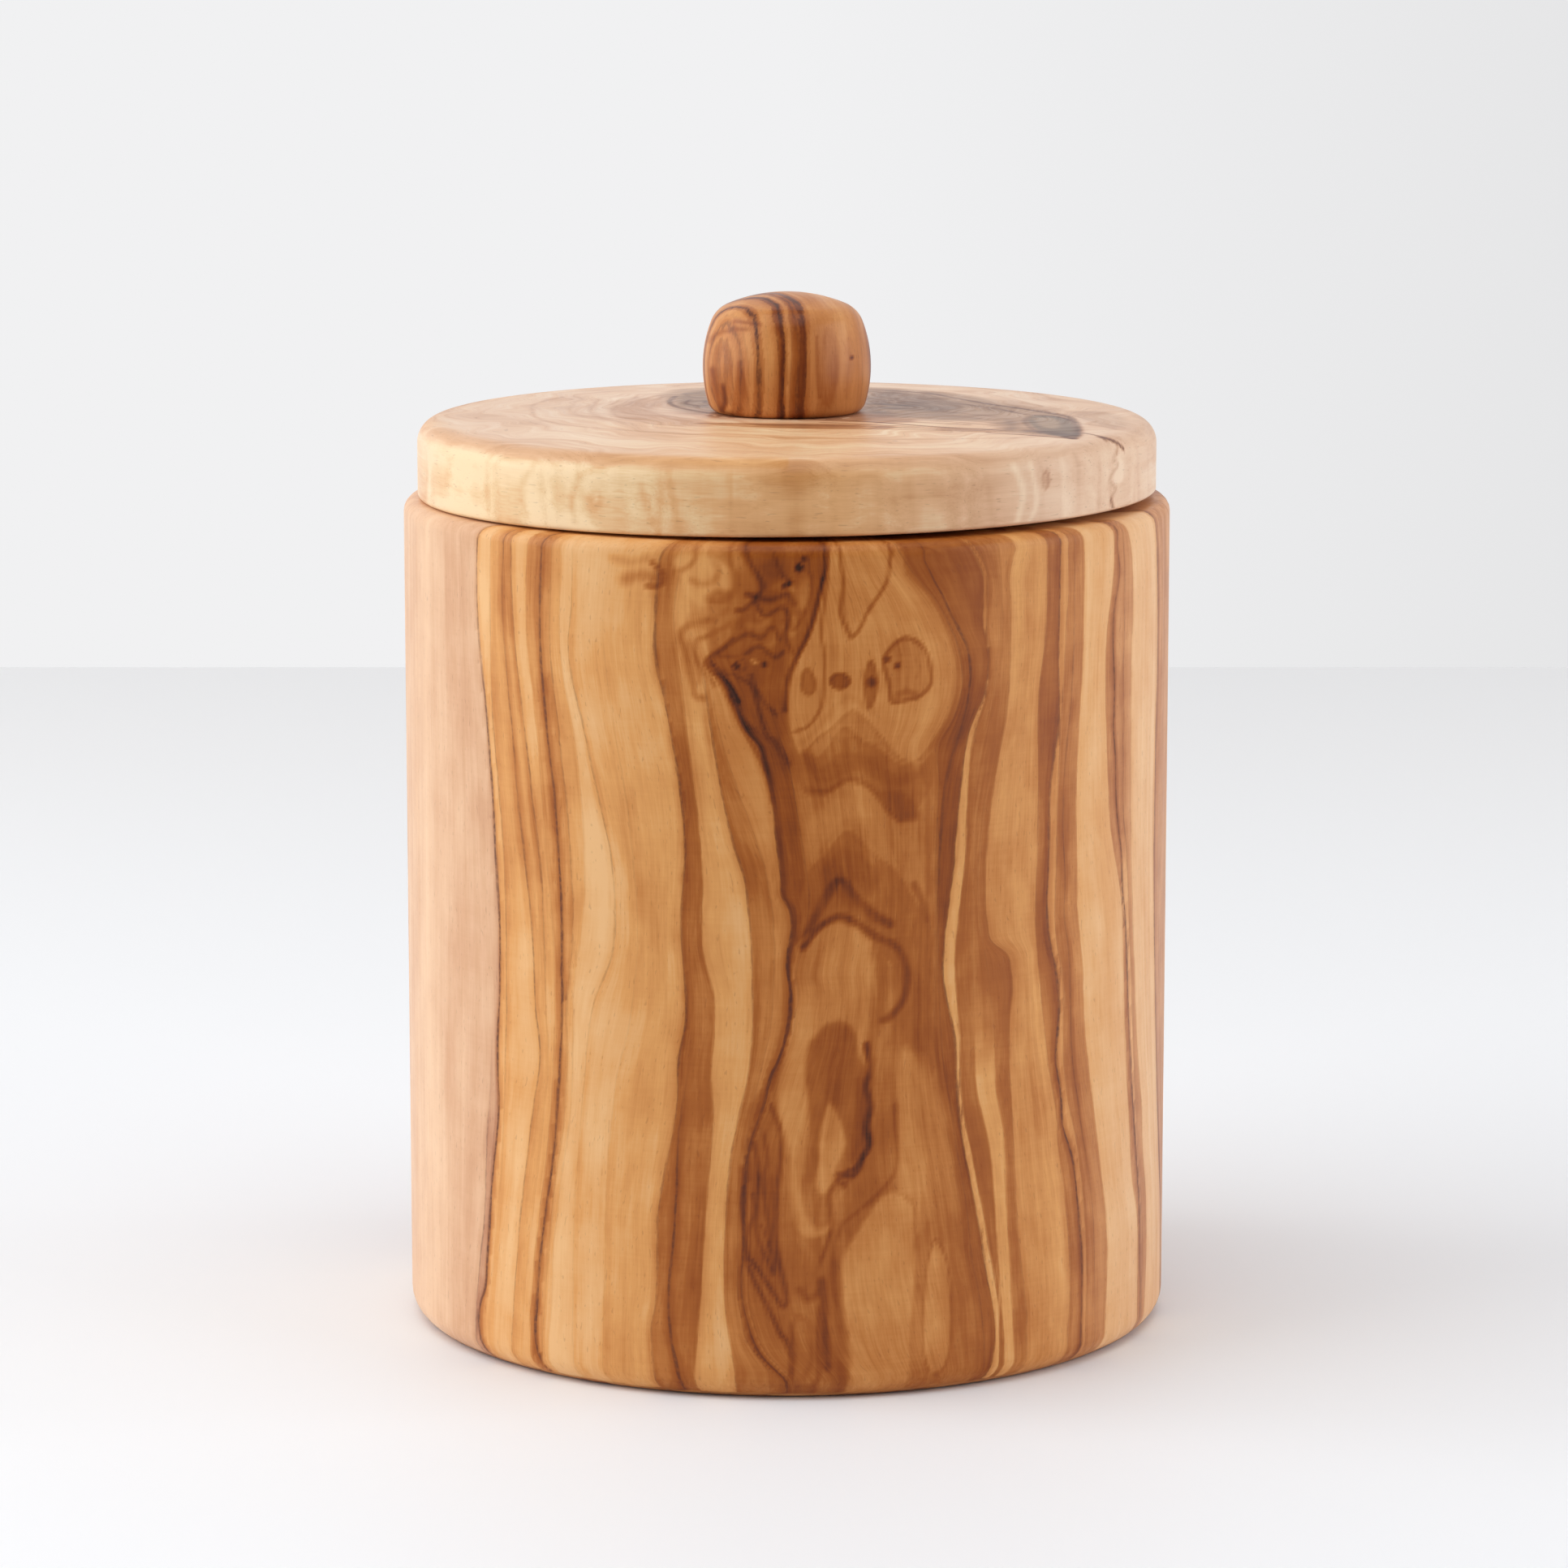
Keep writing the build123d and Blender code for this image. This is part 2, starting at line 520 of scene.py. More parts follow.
@dataclass(frozen=True)
class OliveWood:
    """Turned olive wood, sanded and wiped with oil.

    Growth bands from cream to umber with thin dark lines between them, fine fibres and pores along
    the grain, and a satin surface that lets the light show the fibres.

    Attributes:
        name: name of the material.
        heart: (tone, colour) stops of the golden wood.
        sap: (tone, colour) stops of the rosy sapwood.
        line: colour of the thin growth lines.
        ash: colour of a bark pocket.
        streak: width and length in mm of the streaks, along the three axes of the grain.
        roughness: roughness of the surface between its pores.
        mottle: how strong the streaks are.
    """

    name: str
    heart: tuple[tuple[float, str], ...] = (
        (0.0, "EBB980"),
        (0.13, "DF9F5C"),
        (0.28, "C67F3F"),
        (0.44, "AA6023"),
        (0.6, "954B12"),
        (0.8, "75350F"),
        (1.0, "35180C"),
    )
    sap: tuple[tuple[float, str], ...] = (
        (0.0, "EBC39E"),
        (0.2, "D6A57F"),
        (0.45, "BB8360"),
        (0.7, "925A40"),
        (1.0, "48241A"),
    )
    line: str = "4F271C"
    ash: str = "5F625A"
    streak: tuple[float, float, float] = (0.7, 0.7, 38.0)
    roughness: float = 0.4
    mottle: float = 1.0

    def noise(
        self,
        tree: bpy.types.NodeTree,
        grain: bpy.types.NodeSocket,
        size: Sequence[float],
        detail: float = 2.0,
        shift: float = 0.0,
    ) -> bpy.types.NodeSocket:
        """Noise whose blotches have a given size in mm along the three axes of the grain."""
        scale = tuple(1 / s for s in size)
        move = (shift, 2 * shift, 3 * shift)
        place = add_node(tree, "ShaderNodeMapping", {"Vector": grain, "Scale": scale, "Location": move})
        inputs = {"Vector": place.outputs[0], "Scale": 1.0, "Detail": detail, "Roughness": 0.55}
        return add_node(tree, "ShaderNodeTexNoise", inputs).outputs["Fac"]

    def material(self) -> bpy.types.Material:
        """Build the node tree.

        Returns:
            The material, which reads the figure, bands and grain attributes of a turned piece.
        """
        material = blank(self.name)
        tree = material.node_tree

        def maths(operation: str, a: Any, b: Any = 0.0, c: Any = 0.0) -> bpy.types.NodeSocket:
            """One sum on two or three numbers."""
            return add_node(tree, "ShaderNodeMath", {0: a, 1: b, 2: c}, operation=operation).outputs[0]

        def ranged(
            value: Any, low: Any, high: Any, to_low: float = 0.0, to_high: float = 1.0
        ) -> bpy.types.NodeSocket:
            """A value carried smoothly from one range to another."""
            inputs = {0: value, 1: low, 2: high, 3: to_low, 4: to_high}
            return add_node(tree, "ShaderNodeMapRange", inputs, interpolation_type="SMOOTHSTEP").outputs[0]

        def mixed(part: Any, a: Any, b: Any) -> bpy.types.NodeSocket:
            """One colour laid over another."""
            return add_node(tree, "ShaderNodeMix", {0: part, 6: a, 7: b}, data_type="RGBA").outputs[2]

        def read(title: str) -> bpy.types.NodeSocket:
            """An attribute of the turned piece."""
            return add_node(tree, "ShaderNodeAttribute", attribute_name=title).outputs["Vector"]

        figure = add_node(tree, "ShaderNodeSeparateXYZ", {0: read("figure")}).outputs
        bands = add_node(tree, "ShaderNodeSeparateXYZ", {0: read("bands")}).outputs
        grain = read("grain")

        # A growth line sways by a fifth of a millimetre, and the fibres fray its edges.
        across, _, length = self.streak
        sway = self.noise(tree, grain, (1.8, 1.8, 13.0), 2.0, 7.0)
        fray = self.noise(tree, grain, (0.25, 0.25, 2.2), 2.0, 23.0)
        line = maths("MULTIPLY_ADD", maths("SUBTRACT", sway, 0.5), 0.75, bands[0])
        line = maths("MULTIPLY_ADD", maths("SUBTRACT", fray, 0.5), 0.35, line)
        side = ranged(line, -0.24, 0.24)
        band_tone = maths("MULTIPLY_ADD", maths("SUBTRACT", figure[0], figure[1]), side, figure[1])
        distance = maths("ABSOLUTE", line)
        halo = maths("MULTIPLY", ranged(distance, 0.05, 1.2, 1.0, 0.0), maths("MULTIPLY", figure[2], 0.22))
        band_tone = maths("ADD", band_tone, halo)

        # Fine growth lines a quarter of a millimetre wide lie where a slow noise passes its middle.
        drift = self.noise(tree, grain, (3.6 * across, 3.6 * across, 2.2 * length), 2.0, 29.0)
        hair = ranged(maths("ABSOLUTE", maths("SUBTRACT", drift, 0.5)), 0.004, 0.022, 1.0, 0.0)

        # Cloudy blotches, broad streaks, streaks under a millimetre wide, fibres drawn twice as coarse
        # as the real tenth of a millimetre so that they show, and the faint marks of the turning,
        # which run level. All are stronger in dark wood.
        streaks = self.noise(tree, grain, self.streak, 3.0, 3.0)
        broad = self.noise(tree, grain, (4.2 * across, 4.2 * across, 1.4 * length), 2.0, 5.0)
        clouds = self.noise(tree, grain, (4.5, 4.5, 9.0), 3.0, 13.0)
        fibres = self.noise(tree, grain, (0.2, 0.2, 3.5), 2.0, 11.0)
        turned = self.noise(tree, grain, (6.0, 6.0, 0.35), 2.0, 31.0)
        texture = maths("MULTIPLY", maths("MULTIPLY", hair, ranged(clouds, 0.45, 0.6)), 0.045)
        shares = ((clouds, 0.46), (broad, 0.26), (streaks, 0.2), (fibres, 0.15), (turned, 0.06))
        for part, share in shares:
            texture = maths("MULTIPLY_ADD", maths("SUBTRACT", part, 0.5), share, texture)
        depth = maths("MULTIPLY_ADD", band_tone, 1.5 * self.mottle, 0.45 * self.mottle)
        tone = maths("MULTIPLY_ADD", texture, depth, band_tone)

        heart = add_node(tree, "ShaderNodeValToRGB", {0: tone}, self.heart).outputs[0]
        sap = add_node(tree, "ShaderNodeValToRGB", {0: tone}, self.sap).outputs[0]
        colour = mixed(bands[1], heart, sap)
        colour = mixed(bands[2], colour, linear(self.ash))

        # A line's dark core is 0.15 to 0.35 mm wide, and breaks up into dots along its way.
        half = maths("MULTIPLY_ADD", figure[2], 0.12, 0.05)
        thin = ranged(distance, maths("MULTIPLY", half, 0.4), maths("MULTIPLY", half, 1.9), 1.0, 0.0)
        slow = ranged(self.noise(tree, grain, (1.5, 1.5, 9.0), 2.0, 17.0), 0.3, 0.6, 0.5, 1.0)
        dotted = ranged(self.noise(tree, grain, (0.5, 0.5, 0.7), 2.0, 37.0), 0.35, 0.6, 0.5, 1.0)
        core = maths("MULTIPLY", maths("MULTIPLY", thin, maths("MULTIPLY", slow, dotted)), figure[2])
        colour = mixed(core, colour, linear(self.line))

        # Pores are short dark dashes a tenth of a millimetre wide, drawn a fifth wide and faint.
        pores = ranged(self.noise(tree, grain, (0.2, 0.2, 0.8), 0.0, 19.0), 0.72, 0.82)
        colour = mixed(maths("MULTIPLY", pores, 0.2), colour, linear(self.heart[-2][1]))

        # The sanded fibres stand out by a few hundredths of a millimetre, and the pores go in.
        relief = maths("MULTIPLY_ADD", pores, -0.8, maths("ADD", fibres, turned))
        bump = add_node(tree, "ShaderNodeBump", {"Strength": 0.3, "Distance": 0.03 * MM, "Height": relief})
        rough = ranged(streaks, 0.3, 0.7, self.roughness - 0.05, self.roughness + 0.07)
        shader = add_node(
            tree,
            "ShaderNodeBsdfPrincipled",
            {
                "Base Color": colour,
                "Roughness": rough,
                "IOR": 1.47,
                "Specular IOR Level": 0.3,
                "Normal": bump.outputs[0],
            },
        )
        add_node(tree, "ShaderNodeOutputMaterial", {"Surface": shader.outputs[0]})
        return material


# The share of a band's tone that shows at each s, as (s, share). The wood is paler at s -38 to -18 and 36
# to 60 than at the middle of the front. This is partly the heartwood's own darkening towards the middle,
# and partly painted light on the two sides, where the key and the fill fall.
HEART_DEPTH_AND_SIDE_LIGHT = (
    (-42, 1.0), (-38, 0.7), (-30, 0.52), (-18, 0.54), (-9, 0.95), (0, 1.0),
    (26, 1.0), (36, 0.86), (60, 0.86), (90, 1.0),
)

# Which growth line ends the rosy sapwood at the left, and where the sapwood begins at the back.
SAP_LINE = 5
BACK_SAP = 190.0

# The heights between which the lines on the wall are read. Past them they run on as they are.
DRAWN_HEIGHTS = (2.0, 97.3)

# The columns of the jar: from one s to the next, and how far apart. They are finest on the heart.
COLUMN_RUNS = ((-62, -43, 1.6), (-43, -26, 0.43), (-26, -13, 0.6), (-13, 23, 0.35), (23, 55, 0.46))
BACK_COLUMNS = 90

# The growth lines on the front of the jar, from left to right, as they were read off the wood.
FRONT_LINES = (
    GrainLine(((-57.5, 97), (-58, 60), (-58.5, 5)), 0.1, 0.1),
    GrainLine(((-52.5, 97), (-53, 60), (-53.5, 5)), 0.03, 0.03),
    GrainLine(((-47.5, 97), (-47, 60), (-48.5, 5)), 0.13, 0.16),
    GrainLine(((-43, 97), (-42, 60), (-43.6, 5)), 0.17, 0.17),
    # The rosy sapwood ends in a dark line, with a thin orange one before it near the foot.
    GrainLine(
        ((-41.1, 97), (-41, 85), (-40, 75), (-39, 60), (-38.4, 35), (-39.4, 26), (-39.8, 20), (-41.4, 9),
         (-41.8, 5)),
        0.16, ((40, 0.18), (25, 0.32)), ((40, 0), (28, 0.45), (5, 0.4)),
    ),
    GrainLine(
        ((-40.1, 97), (-40.3, 90), (-38.5, 75), (-36.8, 45), (-37.4, 36), (-37.2, 30), (-38.1, 24),
         (-39.6, 12), (-40, 9), (-41, 6.5), (-41.2, 4), (-40.6, 2)),
        ((50, 0.22), (30, 0.36)), ((78, 0.06), (60, 0.2), (5, 0.15)),
        ((97, 0.6), (80, 0.75), (30, 0.85), (5, 0.8)),
    ),
    GrainLine(
        ((-37.8, 97), (-38.1, 85), (-35.6, 55), (-36.2, 30), (-39.2, 5)),
        ((75, 0.02), (30, 0.14), (5, 0.1)), ((97, 0.12), (60, 0.26), (5, 0.12)),
        ((97, 0.1), (76, 0.35), (40, 0.35), (30, 0.1), (5, 0.05)),
    ),
    GrainLine(
        ((-35.6, 97), (-35.8, 87), (-35.2, 82), (-33.6, 67), (-31.5, 52), (-31, 43), (-30.4, 37),
         (-31.2, 33), (-34.5, 11), (-35.2, 4)),
        ((97, 0.3), (62, 0.22), (52, 0.04), (25, 0), (5, 0.05)), ((60, 0.3), (30, 0.22)),
        ((97, 0.4), (60, 0.5), (40, 0.5), (10, 0.35)),
    ),
    GrainLine(
        ((-34.3, 97), (-34.3, 90), (-31.6, 70), (-30.1, 59), (-29.5, 45), (-29.4, 35), (-30, 30), (-33, 10),
         (-33.3, 5)),
        ((60, 0.3), (30, 0.2)), ((78, 0.04), (66, 0.2), (30, 0.12)),
        ((97, 0.35), (75, 0.5), (50, 0.3), (40, 0.1), (5, 0.05)),
    ),
    GrainLine(
        ((-31.8, 97), (-32.1, 88), (-30.4, 73), (-29.4, 62), (-28.8, 57), (-29.1, 30), (-31.8, 12),
         (-32.3, 7)),
        ((97, 0.05), (75, 0.1), (60, 0.3), (30, 0.12)), ((97, 0.38), (60, 0.42), (5, 0.38)), 0.12,
    ),
    GrainLine(
        ((-29.5, 97), (-30.1, 85), (-29.6, 80), (-27.8, 65), (-28.1, 30), (-31.1, 10), (-31.4, 4),
         (-30.8, 2)),
        0.46, 0.42, ((97, 0.55), (85, 0.7), (50, 0.8), (10, 0.85)),
    ),
    GrainLine(
        ((-28.2, 97), (-28.6, 85), (-27.3, 75), (-25.9, 50), (-26.5, 45), (-26.5, 40), (-27.2, 30),
         (-28.1, 25), (-30.3, 5)),
        0.42, 0.24, ((97, 0.2), (80, 0.3), (5, 0.1)),
    ),
    GrainLine(
        ((-27, 97), (-27.2, 85), (-25, 73), (-24.2, 56), (-25.6, 45), (-25.9, 35), (-28, 20), (-28.8, 15),
         (-29, 10), (-29.5, 5)),
        0.2, ((97, 0.1), (80, 0), (30, 0.05), (5, 0.02)), 0.1,
    ),
    GrainLine(
        ((-25.4, 97), (-25.6, 90), (-26, 85), (-23.6, 74), (-20.3, 58), (-20.8, 50), (-22.8, 45),
         (-24.4, 35), (-25.7, 20), (-26, 5)),
        ((97, 0.1), (80, 0.02), (60, 0.04), (45, 0.12), (5, 0.05)), ((97, 0.16), (60, 0.2), (5, 0.16)),
        ((97, 0.1), (80, 0.35), (50, 0.3), (40, 0.1)),
    ),
    GrainLine(
        ((-20.5, 97), (-21.5, 88), (-20.5, 78), (-18.6, 68), (-18.2, 44), (-20.4, 35), (-21.2, 25),
         (-22, 4)),
        ((97, 0.12), (60, 0.24), (35, 0.05), (5, 0.14)), ((97, 0.14), (60, 0.28), (35, 0.2), (5, 0.24)),
        ((97, 0), (70, 0.15), (40, 0.1)),
    ),
    GrainLine(
        ((-13.7, 97.5), (-14.4, 96), (-14.8, 93), (-15.1, 84), (-13.9, 79), (-11.8, 65), (-12.3, 54),
         (-11.9, 43), (-12.5, 40), (-12.7, 35), (-15, 21), (-15.2, 12), (-15.8, 8), (-15.6, 2)),
        0.2, ((97, 0.3), (85, 0.45), (60, 0.5), (30, 0.44)),
        ((97, 0.4), (80, 0.6), (60, 0.5), (45, 0.65), (30, 0.4), (5, 0.35)),
    ),
    GrainLine(
        ((-13.4, 97), (-14.1, 86), (-11.2, 66), (-11.2, 52), (-11, 45), (-12.6, 30), (-13.1, 21),
         (-13.6, 6), (-12.6, 1.5)),
        0.5, 0.5, ((40, 0), (32, 0.3), (25, 0.65), (5, 0.7)),
    ),
    GrainLine(
        ((-12.1, 97), (-13, 88), (-12.4, 84), (-11, 72), (-9.8, 60), (-9.9, 52), (-8.7, 47), (-8.5, 42),
         (-8.9, 38), (-8.6, 33), (-9, 29), (-10.8, 3)),
        ((97, 0.3), (85, 0.42), (60, 0.46), (5, 0.42)), ((97, 0.25), (60, 0.16)), 0.14,
    ),
    GrainLine(
        ((-11.3, 97), (-11.2, 88), (-10, 84), (-9.5, 81), (-6.5, 64.5), (-5.2, 60.5), (-4.4, 54),
         (-5.2, 35), (-6.3, 30), (-7.2, 10), (-6.3, 3)),
        ((97, 0.25), (60, 0.1)), ((84, 0.25), (78, 0.38)),
        ((85, 0), (80, 0.4), (60, 0.45), (35, 0.3), (5, 0.25)),
    ),
    GrainLine(
        ((-10.2, 97), (-10.4, 90), (-9.3, 84), (-7.6, 75), (-2.6, 60), (-2.1, 45), (-5, 30), (-5.8, 20),
         (-5.7, 10), (-5, 7), (-2.4, 3.4)),
        ((97, 0.25), (80, 0.34)), ((60, 0.24), (40, 0.3), (30, 0.38), (5, 0.42)), ((85, 0), (75, 0.15)),
    ),
    # The main dark streak comes down out of the burl and narrows to a thread below half height.
    GrainLine(
        ((-9.4, 97), (-9.2, 90), (-8.7, 84.3), (-6.5, 81), (-4.8, 76.5), (-3.6, 75), (-3, 73), (-1.1, 60),
         (-0.9, 58), (-0.3, 57), (-0.4, 50), (0, 47), (-1.6, 39), (-2.1, 38), (-3, 34.5), (-4.5, 30),
         (-5.2, 19), (-5, 9.5), (-3, 5), (-0.5, 2.5)),
        ((82, 0.25), (60, 0.2), (25, 0.42)),
        ((97, 0.28), (86, 0.4), (80, 0.76), (66, 0.74), (58, 0.62), (35, 0.55)),
        ((86, 0), (80, 0.7), (60, 0.6), (48, 0.95), (20, 0.6)),
    ),
    GrainLine(
        ((-1, 97), (-2, 85), (-2.5, 80), (-0.6, 74), (1.6, 62), (2, 59), (1.2, 52), (0.6, 49), (0.9, 47),
         (0.5, 44), (0, 41), (-1.1, 38), (-2.1, 34.5), (-3.7, 30), (-4.2, 25), (-4.5, 19), (-4.2, 9.5),
         (-2.2, 5), (0.4, 2.5)),
        ((97, 0.45), (86, 0.5), (78, 0.7), (45, 0.5), (5, 0.55)),
        ((97, 0.4), (80, 0.5), (70, 0.4), (58, 0.5), (45, 0.3), (35, 0.34), (25, 0.55), (5, 0.48)),
        ((80, 0), (74, 0.4), (60, 0.3), (50, 0.1)),
    ),
    GrainLine(
        ((12.2, 96.5), (13.5, 94.5), (16.7, 90.5), (18.3, 77), (17.3, 75.5), (16.9, 70), (16.6, 55),
         (17.2, 35), (18.2, 30), (20.2, 19), (20.7, 15), (21.6, 11), (22.1, 5)),
        ((97, 0.4), (80, 0.36), (60, 0.45), (20, 0.4)), ((97, 0.52), (5, 0.46)),
        ((97, 0.2), (80, 0.3), (60, 0.15), (5, 0.1)),
    ),
    GrainLine(
        ((15, 95.5), (19.2, 87.6), (20.3, 85.5), (19.8, 77), (18.4, 73), (17, 55), (17, 45), (21, 19),
         (21.5, 15), (22.4, 11), (23, 5)),
        0.52, 0.5, ((97, 0.4), (85, 0.65), (60, 0.55), (50, 0.2), (5, 0.3)),
    ),
    GrainLine(
        ((20.5, 97), (22, 94), (22.3, 87.5), (22.9, 85), (22.4, 80), (20.6, 76), (19.7, 71), (18.9, 62),
         (17.5, 48), (19, 40), (19.1, 37), (22.7, 16), (24.3, 4), (23.9, 2)),
        ((97, 0.5), (80, 0.54), (50, 0.48)), ((97, 0.3), (70, 0.1), (50, 0.05), (5, 0.12)),
        ((97, 0.15), (85, 0.4), (60, 0.5)),
    ),
    GrainLine(
        ((21.3, 97), (22.7, 94), (22.8, 87), (23.3, 84), (22.9, 80), (21.4, 76), (20.2, 62), (19, 50),
         (19.6, 42), (19.8, 36), (23, 19), (24.9, 9), (25.1, 4)),
        ((97, 0.35), (60, 0.06), (5, 0.1)), ((97, 0.42), (60, 0.46), (5, 0.42)), 0.18,
    ),
    GrainLine(
        ((23, 97), (23.9, 92), (24, 82), (21.6, 65), (21.6, 42), (22.1, 34), (23.1, 30), (24.8, 15),
         (25.7, 5)),
        ((45, 0.4), (5, 0.45)), ((97, 0.42), (42, 0.38), (36, 0.14)), 0.06,
    ),
    GrainLine(
        ((24.2, 97), (24.7, 92), (24.2, 76), (22.3, 65), (22.1, 54), (23.3, 48), (24, 42), (24.4, 34),
         (25.3, 30), (25.6, 25), (27.1, 5)),
        ((97, 0.42), (42, 0.36), (36, 0.12)), ((42, 0.36), (5, 0.4)), 0.08,
    ),
    GrainLine(
        ((26.5, 96), (25.7, 93), (25.8, 90), (25.1, 76), (24.4, 73), (22.8, 57), (23, 54), (23.8, 51.5),
         (25.5, 50.3), (26.2, 48), (26.1, 42), (27.4, 20), (29, 4), (29, 1.5)),
        0.38, ((97, 0.2), (5, 0.24)), 0.16,
    ),
    GrainLine(
        ((31.2, 97), (30.9, 85), (30.3, 81), (30.1, 68), (30.1, 50), (31.6, 38.5), (33.3, 30), (33.6, 27),
         (34.8, 21), (35.9, 9), (35.5, 3)),
        0.22, ((97, 0.4), (80, 0.46), (50, 0.4)), 0.22,
    ),
    GrainLine(
        ((33.2, 97), (33, 84), (33.1, 77), (31.8, 68), (31.8, 63), (32, 50.5), (32.8, 48), (33.4, 42),
         (33, 37.5), (34, 32), (34.3, 29), (36, 25), (36.6, 22), (38, 10), (37.9, 3)),
        ((97, 0.5), (80, 0.54), (5, 0.5)), ((60, 0.18), (5, 0.28)),
        ((97, 0.5), (70, 0.6), (30, 0.85), (5, 0.6)),
    ),
    GrainLine(
        ((34.5, 97), (34.6, 90), (34.3, 86), (33, 62), (33, 52), (34.4, 44), (34.3, 40), (34.9, 33),
         (37.3, 24), (38.9, 12), (38.8, 4)),
        0.2, ((97, 0.36), (60, 0.4)), 0.2,
    ),
    GrainLine(
        ((35.6, 95), (34.9, 76), (34.3, 72), (34.1, 62), (34.4, 58), (34.3, 53), (35, 50), (35.6, 38),
         (40.1, 16), (40.6, 4)),
        0.38, 0.38, ((97, 0.25), (60, 0.45), (20, 0.3), (5, 0.2)),
    ),
    GrainLine(
        ((37, 97), (37.2, 93), (36.2, 63), (36.9, 51), (37.5, 48), (38.1, 40), (41.2, 24), (42.8, 15.5),
         (42.6, 2.5)),
        ((97, 0.4), (5, 0.34)), 0.08, 0.14,
    ),
    GrainLine(
        ((42.9, 97.5), (43, 92), (41.8, 86), (42.4, 67), (42.6, 64), (45.5, 53), (46.3, 42), (48.3, 26),
         (49.4, 19), (50.2, 17), (51.3, 5)),
        0.08, ((97, 0.36), (80, 0.4), (5, 0.34)), 0.15,
    ),
    GrainLine(
        ((43.8, 97), (43.7, 95), (44.3, 92), (43.2, 88), (43.3, 77), (43.2, 74), (43.7, 70), (44.1, 64),
         (45.4, 59), (45.9, 54), (46.5, 51), (47.1, 45), (50, 23.5), (51.3, 17), (52, 7)),
        ((97, 0.44), (5, 0.38)), ((62, 0.36), (56, 0.1), (32, 0.08), (25, 0.36)),
        ((97, 0.55), (80, 0.7), (50, 0.8), (20, 0.8), (5, 0.5)),
    ),
    GrainLine(
        ((44.9, 97), (45.4, 92), (45.3, 80), (45.5, 70), (45.9, 62), (46.4, 60), (46.9, 56), (50.9, 22),
         (52.4, 14), (52.7, 4)),
        ((62, 0.34), (55, 0.1), (30, 0.1), (24, 0.34)), 0.34,
        ((97, 0.3), (60, 0.35), (40, 0.15), (5, 0.2)),
    ),
    GrainLine(
        ((45.7, 97), (47, 94), (47.6, 89), (47.4, 80), (48.8, 49), (51.1, 31), (51.8, 28), (52.2, 24),
         (54, 15), (54.1, 8), (53.5, 2.5)),
        ((97, 0.34), (5, 0.3)), 0.08, 0.16,
    ),
    GrainLine(
        ((54.5, 97), (55.5, 94), (56, 90), (56.3, 80), (55.8, 70), (60.5, 20.5), (62.5, 13), (63.2, 5)),
        0.08, 0.44, 0.7,
    ),
    GrainLine(((65, 97), (65.4, 80), (65, 60), (71, 5)), 0.3, 0.26),
)


